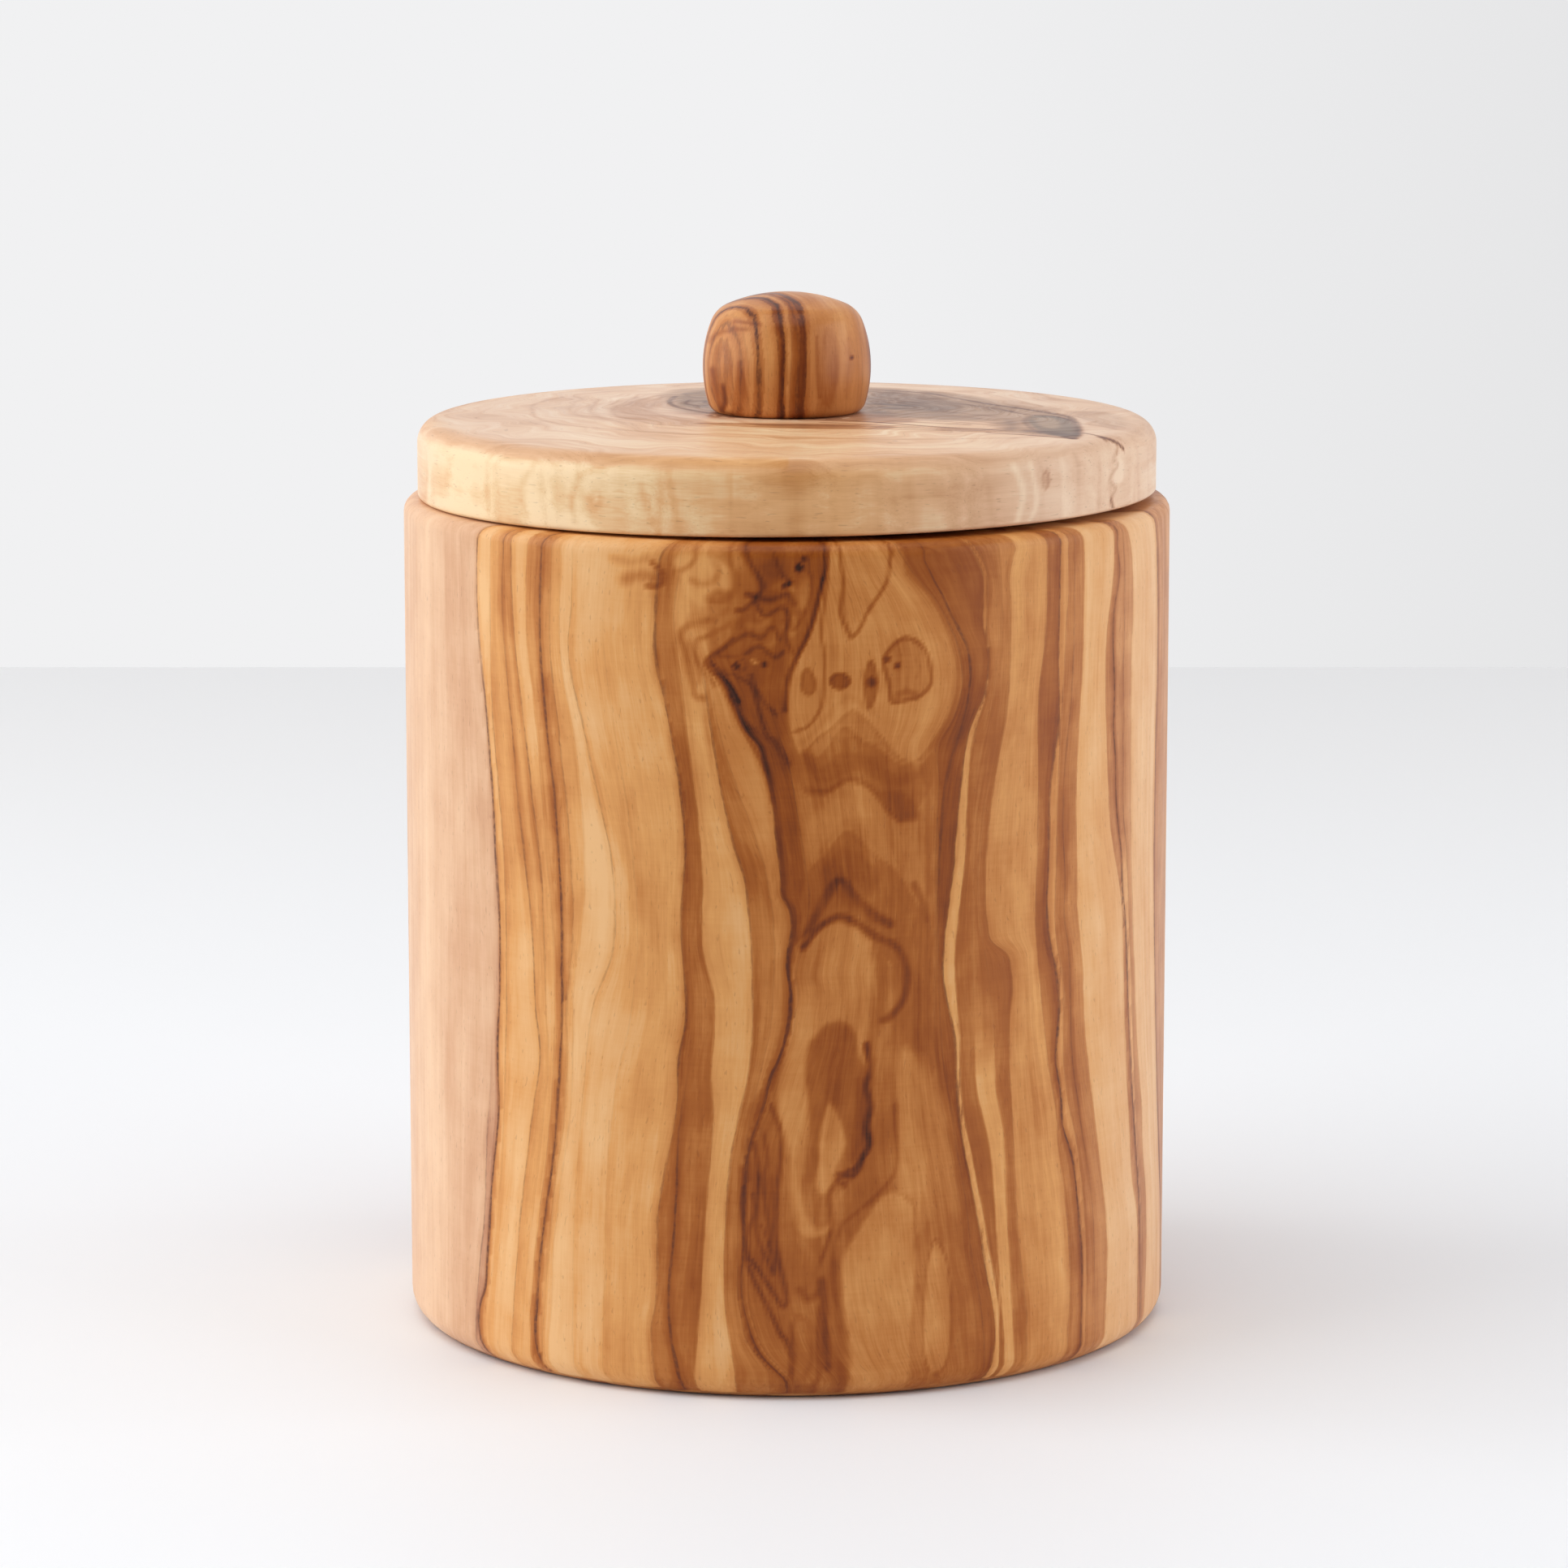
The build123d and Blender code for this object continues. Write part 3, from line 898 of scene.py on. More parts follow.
# Strokes and patches of the heart at the front, over the bands.
HEART_MARKS: Marks = (
    # Base tones of the heart, from the top down.
    Patch(
        ((1.2, 78), (3.4, 76), (6.4, 79), (9, 78), (12, 74), (15.4, 73), (17, 74), (16.8, 62), (16.4, 52),
         (9, 50), (2, 52), (2.2, 60), (1.4, 68)),
        0.33, soft=0.9, cover=0.9,
    ),
    Patch(
        ((2.2, 60.5), (4.4, 63), (6.4, 65.4), (8, 64.6), (10.5, 62.2), (12.4, 60.6), (15, 56.5),
         (16.3, 54.5), (16.6, 50), (16.2, 40), (14, 42), (12, 50), (6, 54), (2, 52), (1.4, 56)),
        0.47, soft=0.4, cover=0.9,
    ),
    Patch(
        ((3, 60), (5, 62.6), (6.5, 63.6), (8.4, 62.6), (10.6, 60.4), (9, 58), (6.5, 60.4), (4, 57.6)),
        0.6, soft=1.0, cover=0.6,
    ),
    Patch(
        ((12.3, 65), (14.5, 66.5), (16.2, 65), (16.2, 60), (15.8, 57), (14.6, 58.5), (13, 61)),
        0.3, soft=0.8,
    ),
    Patch(
        ((1.2, 76), (3.4, 73.8), (6.2, 77.2), (8.2, 75.8), (10, 74.8), (12.6, 72.8), (15.2, 72.6),
         (16.6, 73.8), (16.6, 70.4), (14.2, 67), (12.8, 66.2), (11.4, 67.6), (9.8, 69.8), (8, 70.6),
         (6.4, 70.8), (4, 69.4), (2.2, 69.6), (1.2, 72)),
        0.46, soft=0.4, cover=0.9,
    ),
    Patch(
        ((1.6, 74.6), (3.6, 72.6), (6, 74.4), (7.8, 74.2), (10, 72.9), (12.6, 71.6), (15.4, 72), (14, 70.6),
         (11, 70.6), (8, 72.2), (5.6, 71.4), (3.2, 71)),
        0.54, soft=0.5, cover=0.75,
    ),
    Stroke(
        ((2.2, 70.2), (4.5, 70), (6.5, 71.2), (8.2, 71), (10, 69.6), (11.6, 67.4), (12.8, 66.4)),
        0.6, 0.5, 0.5, 0.8,
    ),
    Stroke(((6.4, 75.4), (7, 73.6), (9.4, 73.4), (10.4, 72.6)), 0.56, 0.9, 0.8, 0.6),
    Patch(
        ((10.2, 69.6), (11.7, 68), (13, 66.4), (14.8, 66.6), (14.2, 68.6), (12.4, 69.8)),
        0.54, soft=0.7,
    ),
    Patch(
        ((2.5, 62), (2.2, 66), (4, 68.2), (7, 69.2), (9.6, 67), (6.4, 66.8), (4, 64)),
        0.27, soft=0.9, cover=0.7,
    ),
    Stroke(((16.2, 72), (16.1, 58)), 0.46, 0.8, 0.9, 0.7),
    # The pale lobe at the top, with a drop let into it.
    Patch(
        ((4.5, 99), (12, 99), (13.5, 94.5), (16.7, 90.5), (19, 86), (19.6, 82), (18.8, 78.5), (17, 75.5),
         (15, 73.2), (13.5, 73), (12, 74), (10, 76.5), (8, 78.5), (7, 78.8), (5, 77), (3.5, 76),
         (1.5, 74.2), (0.5, 76), (0.2, 81), (1.5, 86), (3.2, 90.5)),
        0.26, soft=0.5, cover=0.97, edge=0.42, edge_width=0.3,
    ),
    Patch(
        ((6.3, 99), (6.2, 93), (6, 90), (6.7, 88), (7.2, 87.2), (8.2, 88.3), (9, 90), (11, 93), (11.4, 95),
         (11.5, 99)),
        0.3, soft=0.5, cover=0.7, edge=0.58, edge_width=0.4,
    ),
    Stroke(
        ((16.6, 74.5), (18.4, 77.4), (19.1, 80), (19.1, 84), (18, 87.6), (16, 91), (13.6, 94)),
        0.42, 0.9, 0.9, 0.5,
    ),
    Stroke(
        ((4.5, 94), (3.8, 88), (4.1, 85.5), (4, 80.5), (3.3, 78.5), (2.2, 77.2), (0.8, 76.7)),
        0.52, 0.35, 0.35, 0.8,
    ),
    Stroke(((0.4, 75), (2.6, 76.2), (6, 80), (7.6, 80.2), (9.8, 78.6)), 0.38, 0.6, 0.8, 0.5),
    # Small knots, a lens and an eye in the lobe.
    Patch(
        ((2.3, 83.6), (3, 82.4), (2.9, 81.2), (2.2, 80.9), (1.7, 81.7), (1.7, 83)),
        0.4, soft=0.6, edge=0.5,
    ),
    Patch(
        ((5.8, 83.1), (6.8, 82.6), (6.8, 81.9), (5.8, 81.5), (5, 82), (5, 82.7)),
        0.6, soft=0.4, edge=0.7,
    ),
    Patch(
        ((9.3, 84.4), (9.9, 83), (9.9, 81), (9.2, 79.2), (8.8, 80.6), (8.8, 82.8)),
        0.5, soft=0.35, edge=0.6,
    ),
    Patch(((9.4, 82.6), (9.9, 82.1), (9.4, 81.6), (8.9, 82.1)), 0.92, soft=0.3, edge=0.8),
    Patch(
        ((10.9, 84.8), (13.2, 86.9), (15.6, 85.5), (16.4, 82.5), (16.1, 81.2), (15.2, 80.4), (14, 80),
         (11.9, 79.8), (11.6, 80.5), (11.4, 82)),
        0.37, soft=0.4, edge=0.62, edge_width=0.42,
    ),
    speck(11.2, 84.6, 0.8, 0.85),
    speck(12.4, 83.8, 0.8, 0.8),
    Stroke(((12.6, 80.6), (13.5, 80.9), (14.4, 80.5)), 0.56, 0.7, 0.6, 0.7),
    Stroke(((14.6, 82.4), (15, 83.4), (14.6, 84.6)), 0.46, 0.4, 0.5, 0.6),
    # The burl: reddish brown, full of swirls and bark pockets.
    Patch(
        ((-5.2, 99), (-4.4, 95), (-3.3, 92.4), (-5.8, 88.8), (-6.2, 87), (-8, 85.4), (-9.2, 84.3),
         (-7.6, 82.2), (-6, 79.6), (-3.4, 77), (-0.6, 76), (0.1, 79), (0.2, 83), (2.5, 88), (4.3, 95),
         (4.4, 99)),
        0.54, soft=0.5, cover=0.9,
    ),
    Stroke(((4.2, 97.5), (4.3, 95), (3.8, 93), (2.5, 88), (0.2, 83), (-0.2, 79)), 0.9, 0.5, 0.4, 0.9),
    Patch(((0.9, 90.6), (2.2, 90.4), (2.9, 92.2), (2.2, 93.8), (1.2, 93)), 0.36, soft=0.8, cover=0.85),
    Patch(
        ((-3, 95), (-1, 96.4), (1, 96.6), (2.6, 95.4), (1.4, 94.4), (-1, 93.6)),
        0.66, soft=1.0, cover=0.7,
    ),
    Stroke(((-4.2, 88.6), (-3, 88.4), (-2.2, 89.2), (-3, 89.8)), 0.34, 0.8, 0.7, 0.75),
    Stroke(((-2.6, 86), (-1.6, 86.6), (-1.2, 87.8)), 0.36, 0.6, 0.6, 0.7),
    Stroke(((-0.4, 88.4), (0.4, 87.6), (1, 88.2), (0.8, 89.4)), 0.34, 0.6, 0.6, 0.7),
    Stroke(((-1.6, 92.8), (-0.2, 93.2), (0.8, 92.4)), 0.38, 0.6, 0.6, 0.7),
    Stroke(((-4.4, 92), (-2, 91.4), (0, 92), (0.8, 91)), 0.8, 0.6, 0.6, 0.8),
    Stroke(
        ((-3.4, 91), (-2.4, 89.6), (-0.6, 90.6), (0.2, 89.4), (-0.2, 87.4), (0.6, 85.6)),
        0.82, 0.45, 0.5, 0.8,
    ),
    Stroke(((-6, 86.6), (-4.4, 87.6), (-2.8, 87.2), (-1.6, 88.4), (-0.8, 87)), 0.78, 0.45, 0.5, 0.8),
    Stroke(((-4.6, 85.4), (-3, 86.2), (-1.4, 85), (-0.4, 85.6)), 0.8, 0.5, 0.5, 0.8),
    Stroke(((-1.4, 96.6), (-0.6, 94.4), (0.4, 93.6)), 0.8, 0.4, 0.4, 0.7),
    Stroke(
        ((2.8, 96.8), (2.2, 95), (2.8, 93.8), (2.6, 91.6), (1.8, 89.6), (0.8, 88)),
        0.72, 0.35, 0.4, 0.7,
    ),
    speck(1.3, 95, 1.1, 1.0),
    speck(0.3, 93.3, 0.8, 1.0),
    speck(-0.3, 93, 0.7, 0.95),
    speck(1.9, 96, 0.8, 0.9),
    # Swirls in the golden wood left of the burl.
    Patch(
        ((-12.6, 95.4), (-11.4, 96.4), (-8.6, 96.2), (-6.6, 95), (-6.2, 92.8), (-7.7, 91.4), (-9.4, 90.6),
         (-10.8, 91.4), (-11.8, 93.3)),
        0.12, soft=0.8, cover=0.8,
    ),
    Patch(
        ((-10.4, 90), (-8.6, 89.6), (-8.4, 88.4), (-10, 87.8), (-11.2, 88.8)),
        0.34, soft=0.9, cover=0.6,
    ),
    Patch(
        ((-11.2, 86.6), (-10, 86.4), (-9, 84.6), (-9.4, 82.4), (-10.4, 81.6), (-11.4, 83.6)),
        0.36, soft=0.8, cover=0.6,
    ),
    Stroke(((-5, 98), (-4, 95.5), (-2.7, 92.8), (-4.5, 90.5), (-5.5, 90.2)), 0.8, 0.5, 0.4),
    Stroke(
        ((-6.5, 98), (-6.2, 95.5), (-5.4, 94), (-5.6, 92.5), (-6.8, 91.3), (-8.4, 91.2)),
        0.45, 0.5, 0.5, 0.8,
    ),
    Stroke(
        ((-8.4, 98), (-8.2, 95.8), (-7.6, 94.6), (-8.2, 93.4), (-9.4, 93), (-10.6, 93.4)),
        0.3, 0.7, 0.8, 0.7,
    ),
    Stroke(((-10.6, 97.5), (-10.2, 96), (-11.2, 94.8), (-12.6, 94.4)), 0.42, 0.5, 0.6, 0.6),
    Stroke(
        ((-6.8, 90), (-8, 89.3), (-11.3, 88.2), (-11.9, 87), (-11.4, 85.5), (-10.6, 82), (-10.2, 80.5),
         (-9.3, 80.3)),
        0.46, 0.7, 0.7, 0.7,
    ),
    Stroke(
        ((-6.4, 88.6), (-9, 87.2), (-10, 86.8), (-10.2, 85.5), (-9.8, 84), (-8, 81.8)),
        0.5, 0.5, 0.55, 0.75,
    ),
    Stroke(
        ((-6, 87), (-7, 86), (-8.9, 84.5), (-8.3, 83.4), (-7, 82.5), (-5.4, 80)),
        0.82, 0.55, 0.5, 0.85,
    ),
    Patch(((-8.5, 84.8), (-5.8, 85), (-4.4, 84.2), (-5.6, 83.2), (-7.2, 83.3)), 0.5, soft=0.5, edge=0.66),
    Stroke(((-8.5, 84.2), (-8.2, 84)), 0.85, 0.5, 0.3, 0.9),
    speck(-5.6, 84, 1, 0.9),
    speck(-2.5, 84.2, 0.8, 0.9),
    Stroke(((-3.8, 84.6), (-3.4, 84.4)), 0.1, 0.4, 0.3, 0.8),
    Stroke(((-5.4, 82.8), (-3.6, 81.6), (-2.4, 79.8), (-1.2, 78.6)), 0.8, 0.45, 0.5, 0.75),
    Stroke(((-4, 83), (-2.5, 77), (-1, 75), (0.2, 73)), 0.82, 0.45, 0.5, 0.75),
    Stroke(((-2.8, 83.2), (-1.6, 81), (-0.6, 78.4), (-0.2, 76.4)), 0.5, 0.5, 0.6, 0.7),
    Stroke(((-6.4, 80.6), (-5, 77.6), (-2.4, 72.6), (-1.6, 69)), 0.78, 0.5, 0.6, 0.6),
    Stroke(((-18.5, 93.2), (-16.6, 93.8), (-14.6, 93.4), (-12.6, 93.8)), 0.44, 1.2, 1.4, 0.6),
    Stroke(
        ((-15.4, 95.4), (-14.2, 94.4), (-13.8, 93.6), (-14.6, 92.6), (-15.8, 92.6)),
        0.6, 0.45, 0.5, 0.7,
    ),
    Stroke(((-20, 95.5), (-17.5, 95.2), (-15.6, 95.8)), 0.36, 0.8, 1.0, 0.5),
    Stroke(((-8.6, 91.4), (-7.6, 92), (-6.6, 91.8)), 0.5, 1.0, 1.0, 0.6),
    # Two dark ridges like hills over the light lobe.
    Stroke(
        ((1.8, 52.2), (3, 55.5), (5, 59), (5.8, 59.8), (6.5, 59.5), (7.3, 58.3), (9.5, 56), (11.8, 54.6)),
        0.76, 1.0, 0.7, 0.9,
    ),
    Stroke(((14.5, 59), (15.3, 57.5), (16, 55)), 0.66, 0.7, 0.8, 0.6),
    Patch(
        ((0.5, 51), (2, 53.5), (6, 55), (9.3, 53), (9.8, 51.5), (9.9, 46), (9.3, 40), (9.4, 30), (6, 21),
         (1, 20), (-1.4, 33), (0.2, 42)),
        0.3, soft=0.7, cover=0.95,
    ),
    Patch(
        ((0.2, 42), (1.6, 47), (3.4, 47), (2.6, 38), (1.6, 30), (1, 22), (-0.6, 28), (-0.8, 36)),
        0.22, soft=1.4,
    ),
    Stroke(
        ((1.8, 52.3), (3.5, 54.5), (5, 55.5), (6, 55.7), (7.5, 55.2), (10.5, 53)),
        0.78, 0.7, 0.5, 0.9,
    ),
    Stroke(((10.2, 52), (10.4, 48), (9.6, 40)), 0.6, 1.4, 1.2, 0.7),
    Stroke(((3.5, 57), (4.6, 58.4), (5.9, 58.8), (7.6, 57), (9.6, 55.2)), 0.64, 1.2, 1.2, 0.5),
    # The dark oval with its light core.
    Patch(
        ((2.4, 41), (2.1, 38), (2.6, 32), (2.3, 29), (1.6, 24), (2.8, 20.6), (3.8, 20), (5.2, 21), (6, 24),
         (8.4, 26), (9.2, 29), (9.2, 34), (9, 38), (8, 40), (7.6, 42.4), (6.2, 43.8), (4.6, 43.4), (3, 42)),
        0.52, soft=0.9, cover=0.9,
    ),
    Patch(
        ((3.6, 42.4), (5, 43.6), (7, 43), (7.8, 40), (7.6, 36), (6.4, 34.4), (4.6, 35), (3.4, 37.6)),
        0.6, soft=1.2, cover=0.7,
    ),
    Patch(
        ((4.6, 34.4), (5.5, 33.6), (6.6, 30), (5.3, 26.5), (5, 25.2), (4, 24), (3.3, 24.8), (3.2, 26),
         (3.6, 28), (3.6, 30), (4, 32.6)),
        0.28, soft=0.6, cover=0.95,
    ),
    Stroke(
        ((9, 41), (9.5, 38.6), (9, 36.4), (9.4, 34), (9, 31.6), (9.3, 29.6), (8.4, 28), (7.6, 26.2),
         (6, 26.2)),
        0.88, 0.8, 0.5, 0.85,
    ),
    Stroke(((8, 37), (8.4, 33), (8.3, 30), (7.4, 28)), 0.7, 0.8, 1.0, 0.6),
    Stroke(((8.8, 28.4), (7.8, 27), (6.8, 26.6)), 0.88, 0.5, 0.4, 0.8),
    Stroke(((6.6, 26.3), (5.9, 25.6), (6.5, 25)), 0.85, 0.5, 0.4, 0.8),
    Stroke(
        ((5.6, 25.6), (4.7, 23.5), (5.1, 21), (4.9, 19.5), (3.3, 15), (1.8, 12.5), (0.9, 9)),
        0.76, 0.45, 0.4, 0.8,
    ),
    # Brown wood right of the oval, and a tan strip in it.
    Patch(
        ((9.6, 41), (12, 42), (14, 39), (13, 34), (12.8, 27), (12, 25.5), (10.6, 24), (6.3, 20.5),
         (5.2, 20), (5.4, 23), (7.6, 25.6), (9.6, 28), (9.9, 34)),
        0.43, soft=0.7, cover=0.9,
    ),
    Stroke(
        ((12.2, 34), (12.5, 27), (10.5, 24), (7.5, 21.5), (6.3, 20.5), (5.7, 19)),
        0.64, 0.45, 0.5, 0.7,
    ),
    Patch(
        ((12.9, 40), (14.8, 39.6), (16.4, 34), (16.6, 24), (15.6, 19), (13.2, 21), (12.7, 30)),
        0.29, soft=0.9,
    ),
    Patch(
        ((10, 52), (12, 51.6), (13, 49), (12.6, 45), (12, 42), (14.6, 40), (16.2, 44), (16.2, 52),
         (14.6, 56), (12, 54.4)),
        0.44, soft=1.0, cover=0.7,
    ),
    Patch(
        ((10.2, 49), (10.4, 42), (12.4, 38), (11.6, 33), (10.2, 34), (9.8, 41)),
        0.42, soft=0.9, cover=0.7,
    ),
    Stroke(
        ((9.6, 53.6), (10.8, 52.9), (12, 52.4), (13, 51.2), (13.6, 49.4), (13.6, 47.5), (13.1, 45.8),
         (11.8, 44.2), (10.8, 43.8)),
        0.74, 0.8, 0.7, 0.85,
    ),
    # The pale lower lobe and the ellipse beside it.
    Patch(
        ((9.8, 22.4), (7.3, 18.5), (6.3, 16.5), (6.2, 14), (6.4, 11), (7.2, 5), (7.3, 0), (14.5, 0),
         (14.5, 3), (14.2, 6), (14.9, 15), (14.6, 18), (14.6, 22), (13, 23.6), (11.4, 23.8)),
        0.25, soft=0.6, cover=0.95, edge=0.38, edge_width=0.3,
    ),
    Patch(
        ((16.4, 39), (17, 39), (18.4, 32), (20.4, 20), (20.8, 14), (21.8, 6), (21.8, 0), (14.7, 0),
         (14.5, 7), (15, 13), (15.2, 20), (16.6, 30)),
        0.38, soft=0.7, cover=0.8,
    ),
    Patch(
        ((15.5, 39), (16.3, 38), (16.9, 33), (17, 28), (15.8, 28.6), (15.6, 34)),
        0.36, soft=0.8, cover=0.7,
    ),
    Patch(
        ((17.2, 18), (18.4, 16), (19, 13), (19.3, 9), (19, 5), (18.3, 3), (17, 2.3), (16, 4), (15.6, 7),
         (16, 14), (16.5, 16.5)),
        0.28, soft=0.5, cover=0.92, edge=0.5, edge_width=0.3,
    ),
    # Nested points and loops at the lower left, on reddish brown.
    Patch(
        ((-4.6, 33), (-5.3, 26), (-5.4, 13), (-4.6, 9), (-3, 5.4), (-1, 2.6), (3.8, 1.8), (4.6, 6),
         (4.2, 13), (3.6, 16.6), (2.2, 18.4), (0.6, 22), (-0.8, 33), (-1.6, 36.6), (-2.8, 36)),
        0.42, soft=0.7, cover=0.9,
    ),
    Patch(
        ((-4.4, 30), (-4.6, 22), (-3.8, 17), (-1.6, 13), (-0.2, 12), (-1, 20), (-0.9, 28), (-1.6, 33),
         (-3.2, 34)),
        0.52, soft=0.9, cover=0.7,
    ),
    Stroke(
        ((-5, 27), (-5, 22), (-4.6, 18), (-4.3, 15.5), (-1.7, 10), (-0.8, 8), (0, 7), (0.5, 5), (0.4, 3)),
        0.76, 0.5, 0.5, 0.8,
    ),
    Stroke(
        ((-3.8, 24), (-3.6, 22), (-4.4, 19.5), (-4.4, 17), (-3.4, 15.6), (-1.3, 12.3), (-0.5, 11.1),
         (0, 12), (-0.9, 16.5), (-1.3, 20), (-1.2, 24), (-0.7, 30.5), (-1.8, 34.3)),
        0.78, 0.5, 0.5, 0.8,
    ),
    Stroke(
        ((-3.6, 30), (-3.2, 26), (-3.4, 19.8), (-2, 16), (-1.5, 14.9), (-1.6, 17), (-2.4, 23), (-2.6, 26),
         (-2.2, 28), (-2.6, 31)),
        0.74, 0.45, 0.5, 0.75,
    ),
    Stroke(((-2.8, 20.6), (-1.9, 17.4)), 0.8, 0.3, 0.3, 0.7),
    Stroke(((-0.4, 31), (1, 21)), 0.42, 0.6, 0.8, 0.6),
    Stroke(
        ((0.5, 9), (0.8, 5), (0.6, 3), (1, 2), (2.5, 1.8), (3.5, 2.5), (3.6, 5), (3.5, 8), (3.7, 11)),
        0.7, 0.45, 0.5, 0.75,
    ),
    Stroke(((1.3, 10), (2.4, 9), (2.8, 5), (2, 3)), 0.62, 0.5, 0.7, 0.6),
    Stroke(((3.9, 14), (4.3, 11), (4.3, 7), (4.6, 4)), 0.8, 0.9, 0.8, 0.75),
    Stroke(((1.4, 13), (2.4, 12), (3.6, 12.6)), 0.7, 0.8, 0.8, 0.7),
    Stroke(((5.4, 16), (6.2, 2)), 0.58, 0.9, 0.9, 0.7),
)


@dataclass
class Jar:
    """The hollow jar: one block of olive wood, turned inside and out.

    Attributes:
        radius, height, wall, floor: its main sizes in mm.
        foot_round, rim_round, mouth_chamfer, cove: its edges.
        burl_foot: the height from which the rows of its grid lie closest together.
        pith: where the middle of the tree lay, as x and y.
        wood: its finish.
    """

    radius: float = 45.0
    height: float = 97.6
    wall: float = 8.0
    floor: float = 9.0
    foot_round: float = 2.8
    rim_round: float = 1.5
    mouth_chamfer: float = 0.6
    cove: float = 4.0
    burl_foot: float = 76.0
    pith: tuple[float, float] = (6.0, 96.0)
    wood: OliveWood = field(default_factory=lambda: OliveWood("olive wood, turned and oiled, jar"))

    @property
    def round_about(self) -> float:
        """The way right round the outside, in mm."""
        return 2 * math.pi * self.radius

    def turning(self) -> Turning:
        """The jar's outline and columns, closest together where the figure is finest."""
        r, h, bore = self.radius, self.height, self.radius - self.wall
        cut = self.mouth_chamfer
        outline = np.vstack([
            straight((0, 0), (r - self.foot_round, 0), 4.5),
            arc((r - self.foot_round, self.foot_round), self.foot_round, -90, 0, 8),
            straight((r, self.foot_round), (r, self.burl_foot), 0.4),
            straight((r, self.burl_foot), (r, h - self.rim_round), 0.34),
            arc((r - self.rim_round, h - self.rim_round), self.rim_round, 0, 90, 5),
            straight((r - self.rim_round, h), (bore + cut + 0.1, h), 3.0),
            [(bore + cut + 0.1, h), (bore + cut, h - 0.02), (bore, h - cut)],
            straight((bore, h - cut - 0.1), (bore, self.floor + self.cove), 9.0),
            arc((bore - self.cove, self.floor + self.cove), self.cove, 0, -90, 3),
            straight((bore - self.cove, self.floor), (0, self.floor), 5.5),
            [(0, self.floor)],
        ])
        front = [np.arange(*run) for run in COLUMN_RUNS]
        first, last = COLUMN_RUNS[0][0], COLUMN_RUNS[-1][1]
        back = np.linspace(last, self.round_about + first, BACK_COLUMNS, endpoint=False)
        return Turning(outline[:, 0], outline[:, 1], np.concatenate([*front, back]) / r)

    def back_lines(self) -> list[GrainLine]:
        """The growth lines that the photograph can't show, in the style of the front.

        Each line stands at its own place and sways up the wall as two sine waves. It leans away
        from a second heart at the back, the nearer the more, and most at the heart's own height.
        """
        rng = np.random.default_rng(41)
        heights = np.linspace(2, 97, 16)
        homes = [76, 80, 85.5, 88, 94, 100, 103.5, 108, 113, 117.5, 134, 138.5, 142, 148, 153, 156.5,
                 163, 168, 171.5, 178, 183]
        heart, heart_height, spread = 125.7, 50, 26
        swell = np.exp(-(((heights - heart_height) / spread) ** 2)) - 0.3
        lines = []
        for number, home in enumerate(homes):
            sway = 2.6 * np.sin(heights / 21 + home / 31) + 1.1 * np.sin(heights / 9 + home / 17)
            lean = 5.5 * np.sign(home - heart) * np.exp(-(((home - heart) / spread) ** 2))
            dark = rng.uniform(0.12, 0.5)
            path = tuple(zip(home + sway + lean * swell, heights))
            ink = float(rng.uniform(0.1, 0.85)) if number % 2 else 0.3
            before, after = dark + rng.uniform(-0.1, 0.14), dark + rng.uniform(-0.16, 0.1)
            lines.append(GrainLine(path, before, after, ink))
        sap_edge = tuple(zip(BACK_SAP + 2.0 * np.sin(heights / 25), heights))
        lines.append(GrainLine(sap_edge, 0.3, 0.18, 0.75))
        lines.append(GrainLine(((200, 97), (199, 50), (201, 5)), 0.08, 0.08))
        lines.append(GrainLine(((212, 97), (213, 50), (212, 5)), 0.12, 0.12))
        return lines

    def wall_bands(self, s: np.ndarray, heights: np.ndarray) -> dict[str, np.ndarray]:
        """Fill the wall with the bands between its growth lines, all the way round.

        The last line is repeated before the first one, and the first after the last, so the bands
        meet. Their number is even, because the sign of the distance flips from band to band.

        Args:
            s: (rows, columns) places round the jar.
            heights: the height of each row.

        Returns:
            even, odd, ink, line and home for each point.
        """
        lines = list(FRONT_LINES) + self.back_lines()
        if len(lines) % 2:
            lines.append(GrainLine(((217.5, 97), (217.5, 5)), 0.1, 0.1))
        path = np.stack([over_height(line.path, heights) for line in lines], 1)
        path = np.maximum.accumulate(path, 1) + 0.02 * np.arange(len(lines))
        read = {
            name: np.stack([along(getattr(line, name), heights) for line in lines], 1)
            for name in ("before", "after", "ink")
        }
        read["home"] = np.tile(path.mean(0), (len(heights), 1))
        # Tones are scaled by s: partly the heartwood's darkening, partly painted light that pales the
        # sides.
        heart_and_side_light = np.interp(path, *np.transpose(HEART_DEPTH_AND_SIDE_LIGHT))
        read["before"] = read["before"] * heart_and_side_light
        read["after"] = read["after"] * heart_and_side_light
        wrapped = {name: np.hstack([v[:, -1:], v, v[:, :1]]) for name, v in read.items()}
        wrapped["home"][:, 0] -= self.round_about
        wrapped["home"][:, -1] += self.round_about
        path = np.hstack([path[:, -1:] - self.round_about, path, path[:, :1] + self.round_about])
        return between_lines(s, path, wrapped)

    def end_bands(self, places: np.ndarray) -> dict[str, np.ndarray]:
        """Bands of end grain: rings about the pith, behind the jar, that waver a little."""
        flat = places[..., :2]
        swirl = 2.2 * waver(flat, 30, 5) + 0.6 * waver(flat, 9, 6)
        pith = np.hypot(flat[..., 0] - self.pith[0], flat[..., 1] - self.pith[1]) + swirl
        rng = np.random.default_rng(8)
        rings = 44 + np.cumsum(rng.uniform(1.6, 6.5, 34))
        tones = rng.uniform(0.1, 0.5, rings.shape)
        inks = rng.uniform(0.1, 0.8, rings.shape)
        return ring_bands(pith, rings, before=tones + 0.1, after=tones - 0.04, ink=inks)

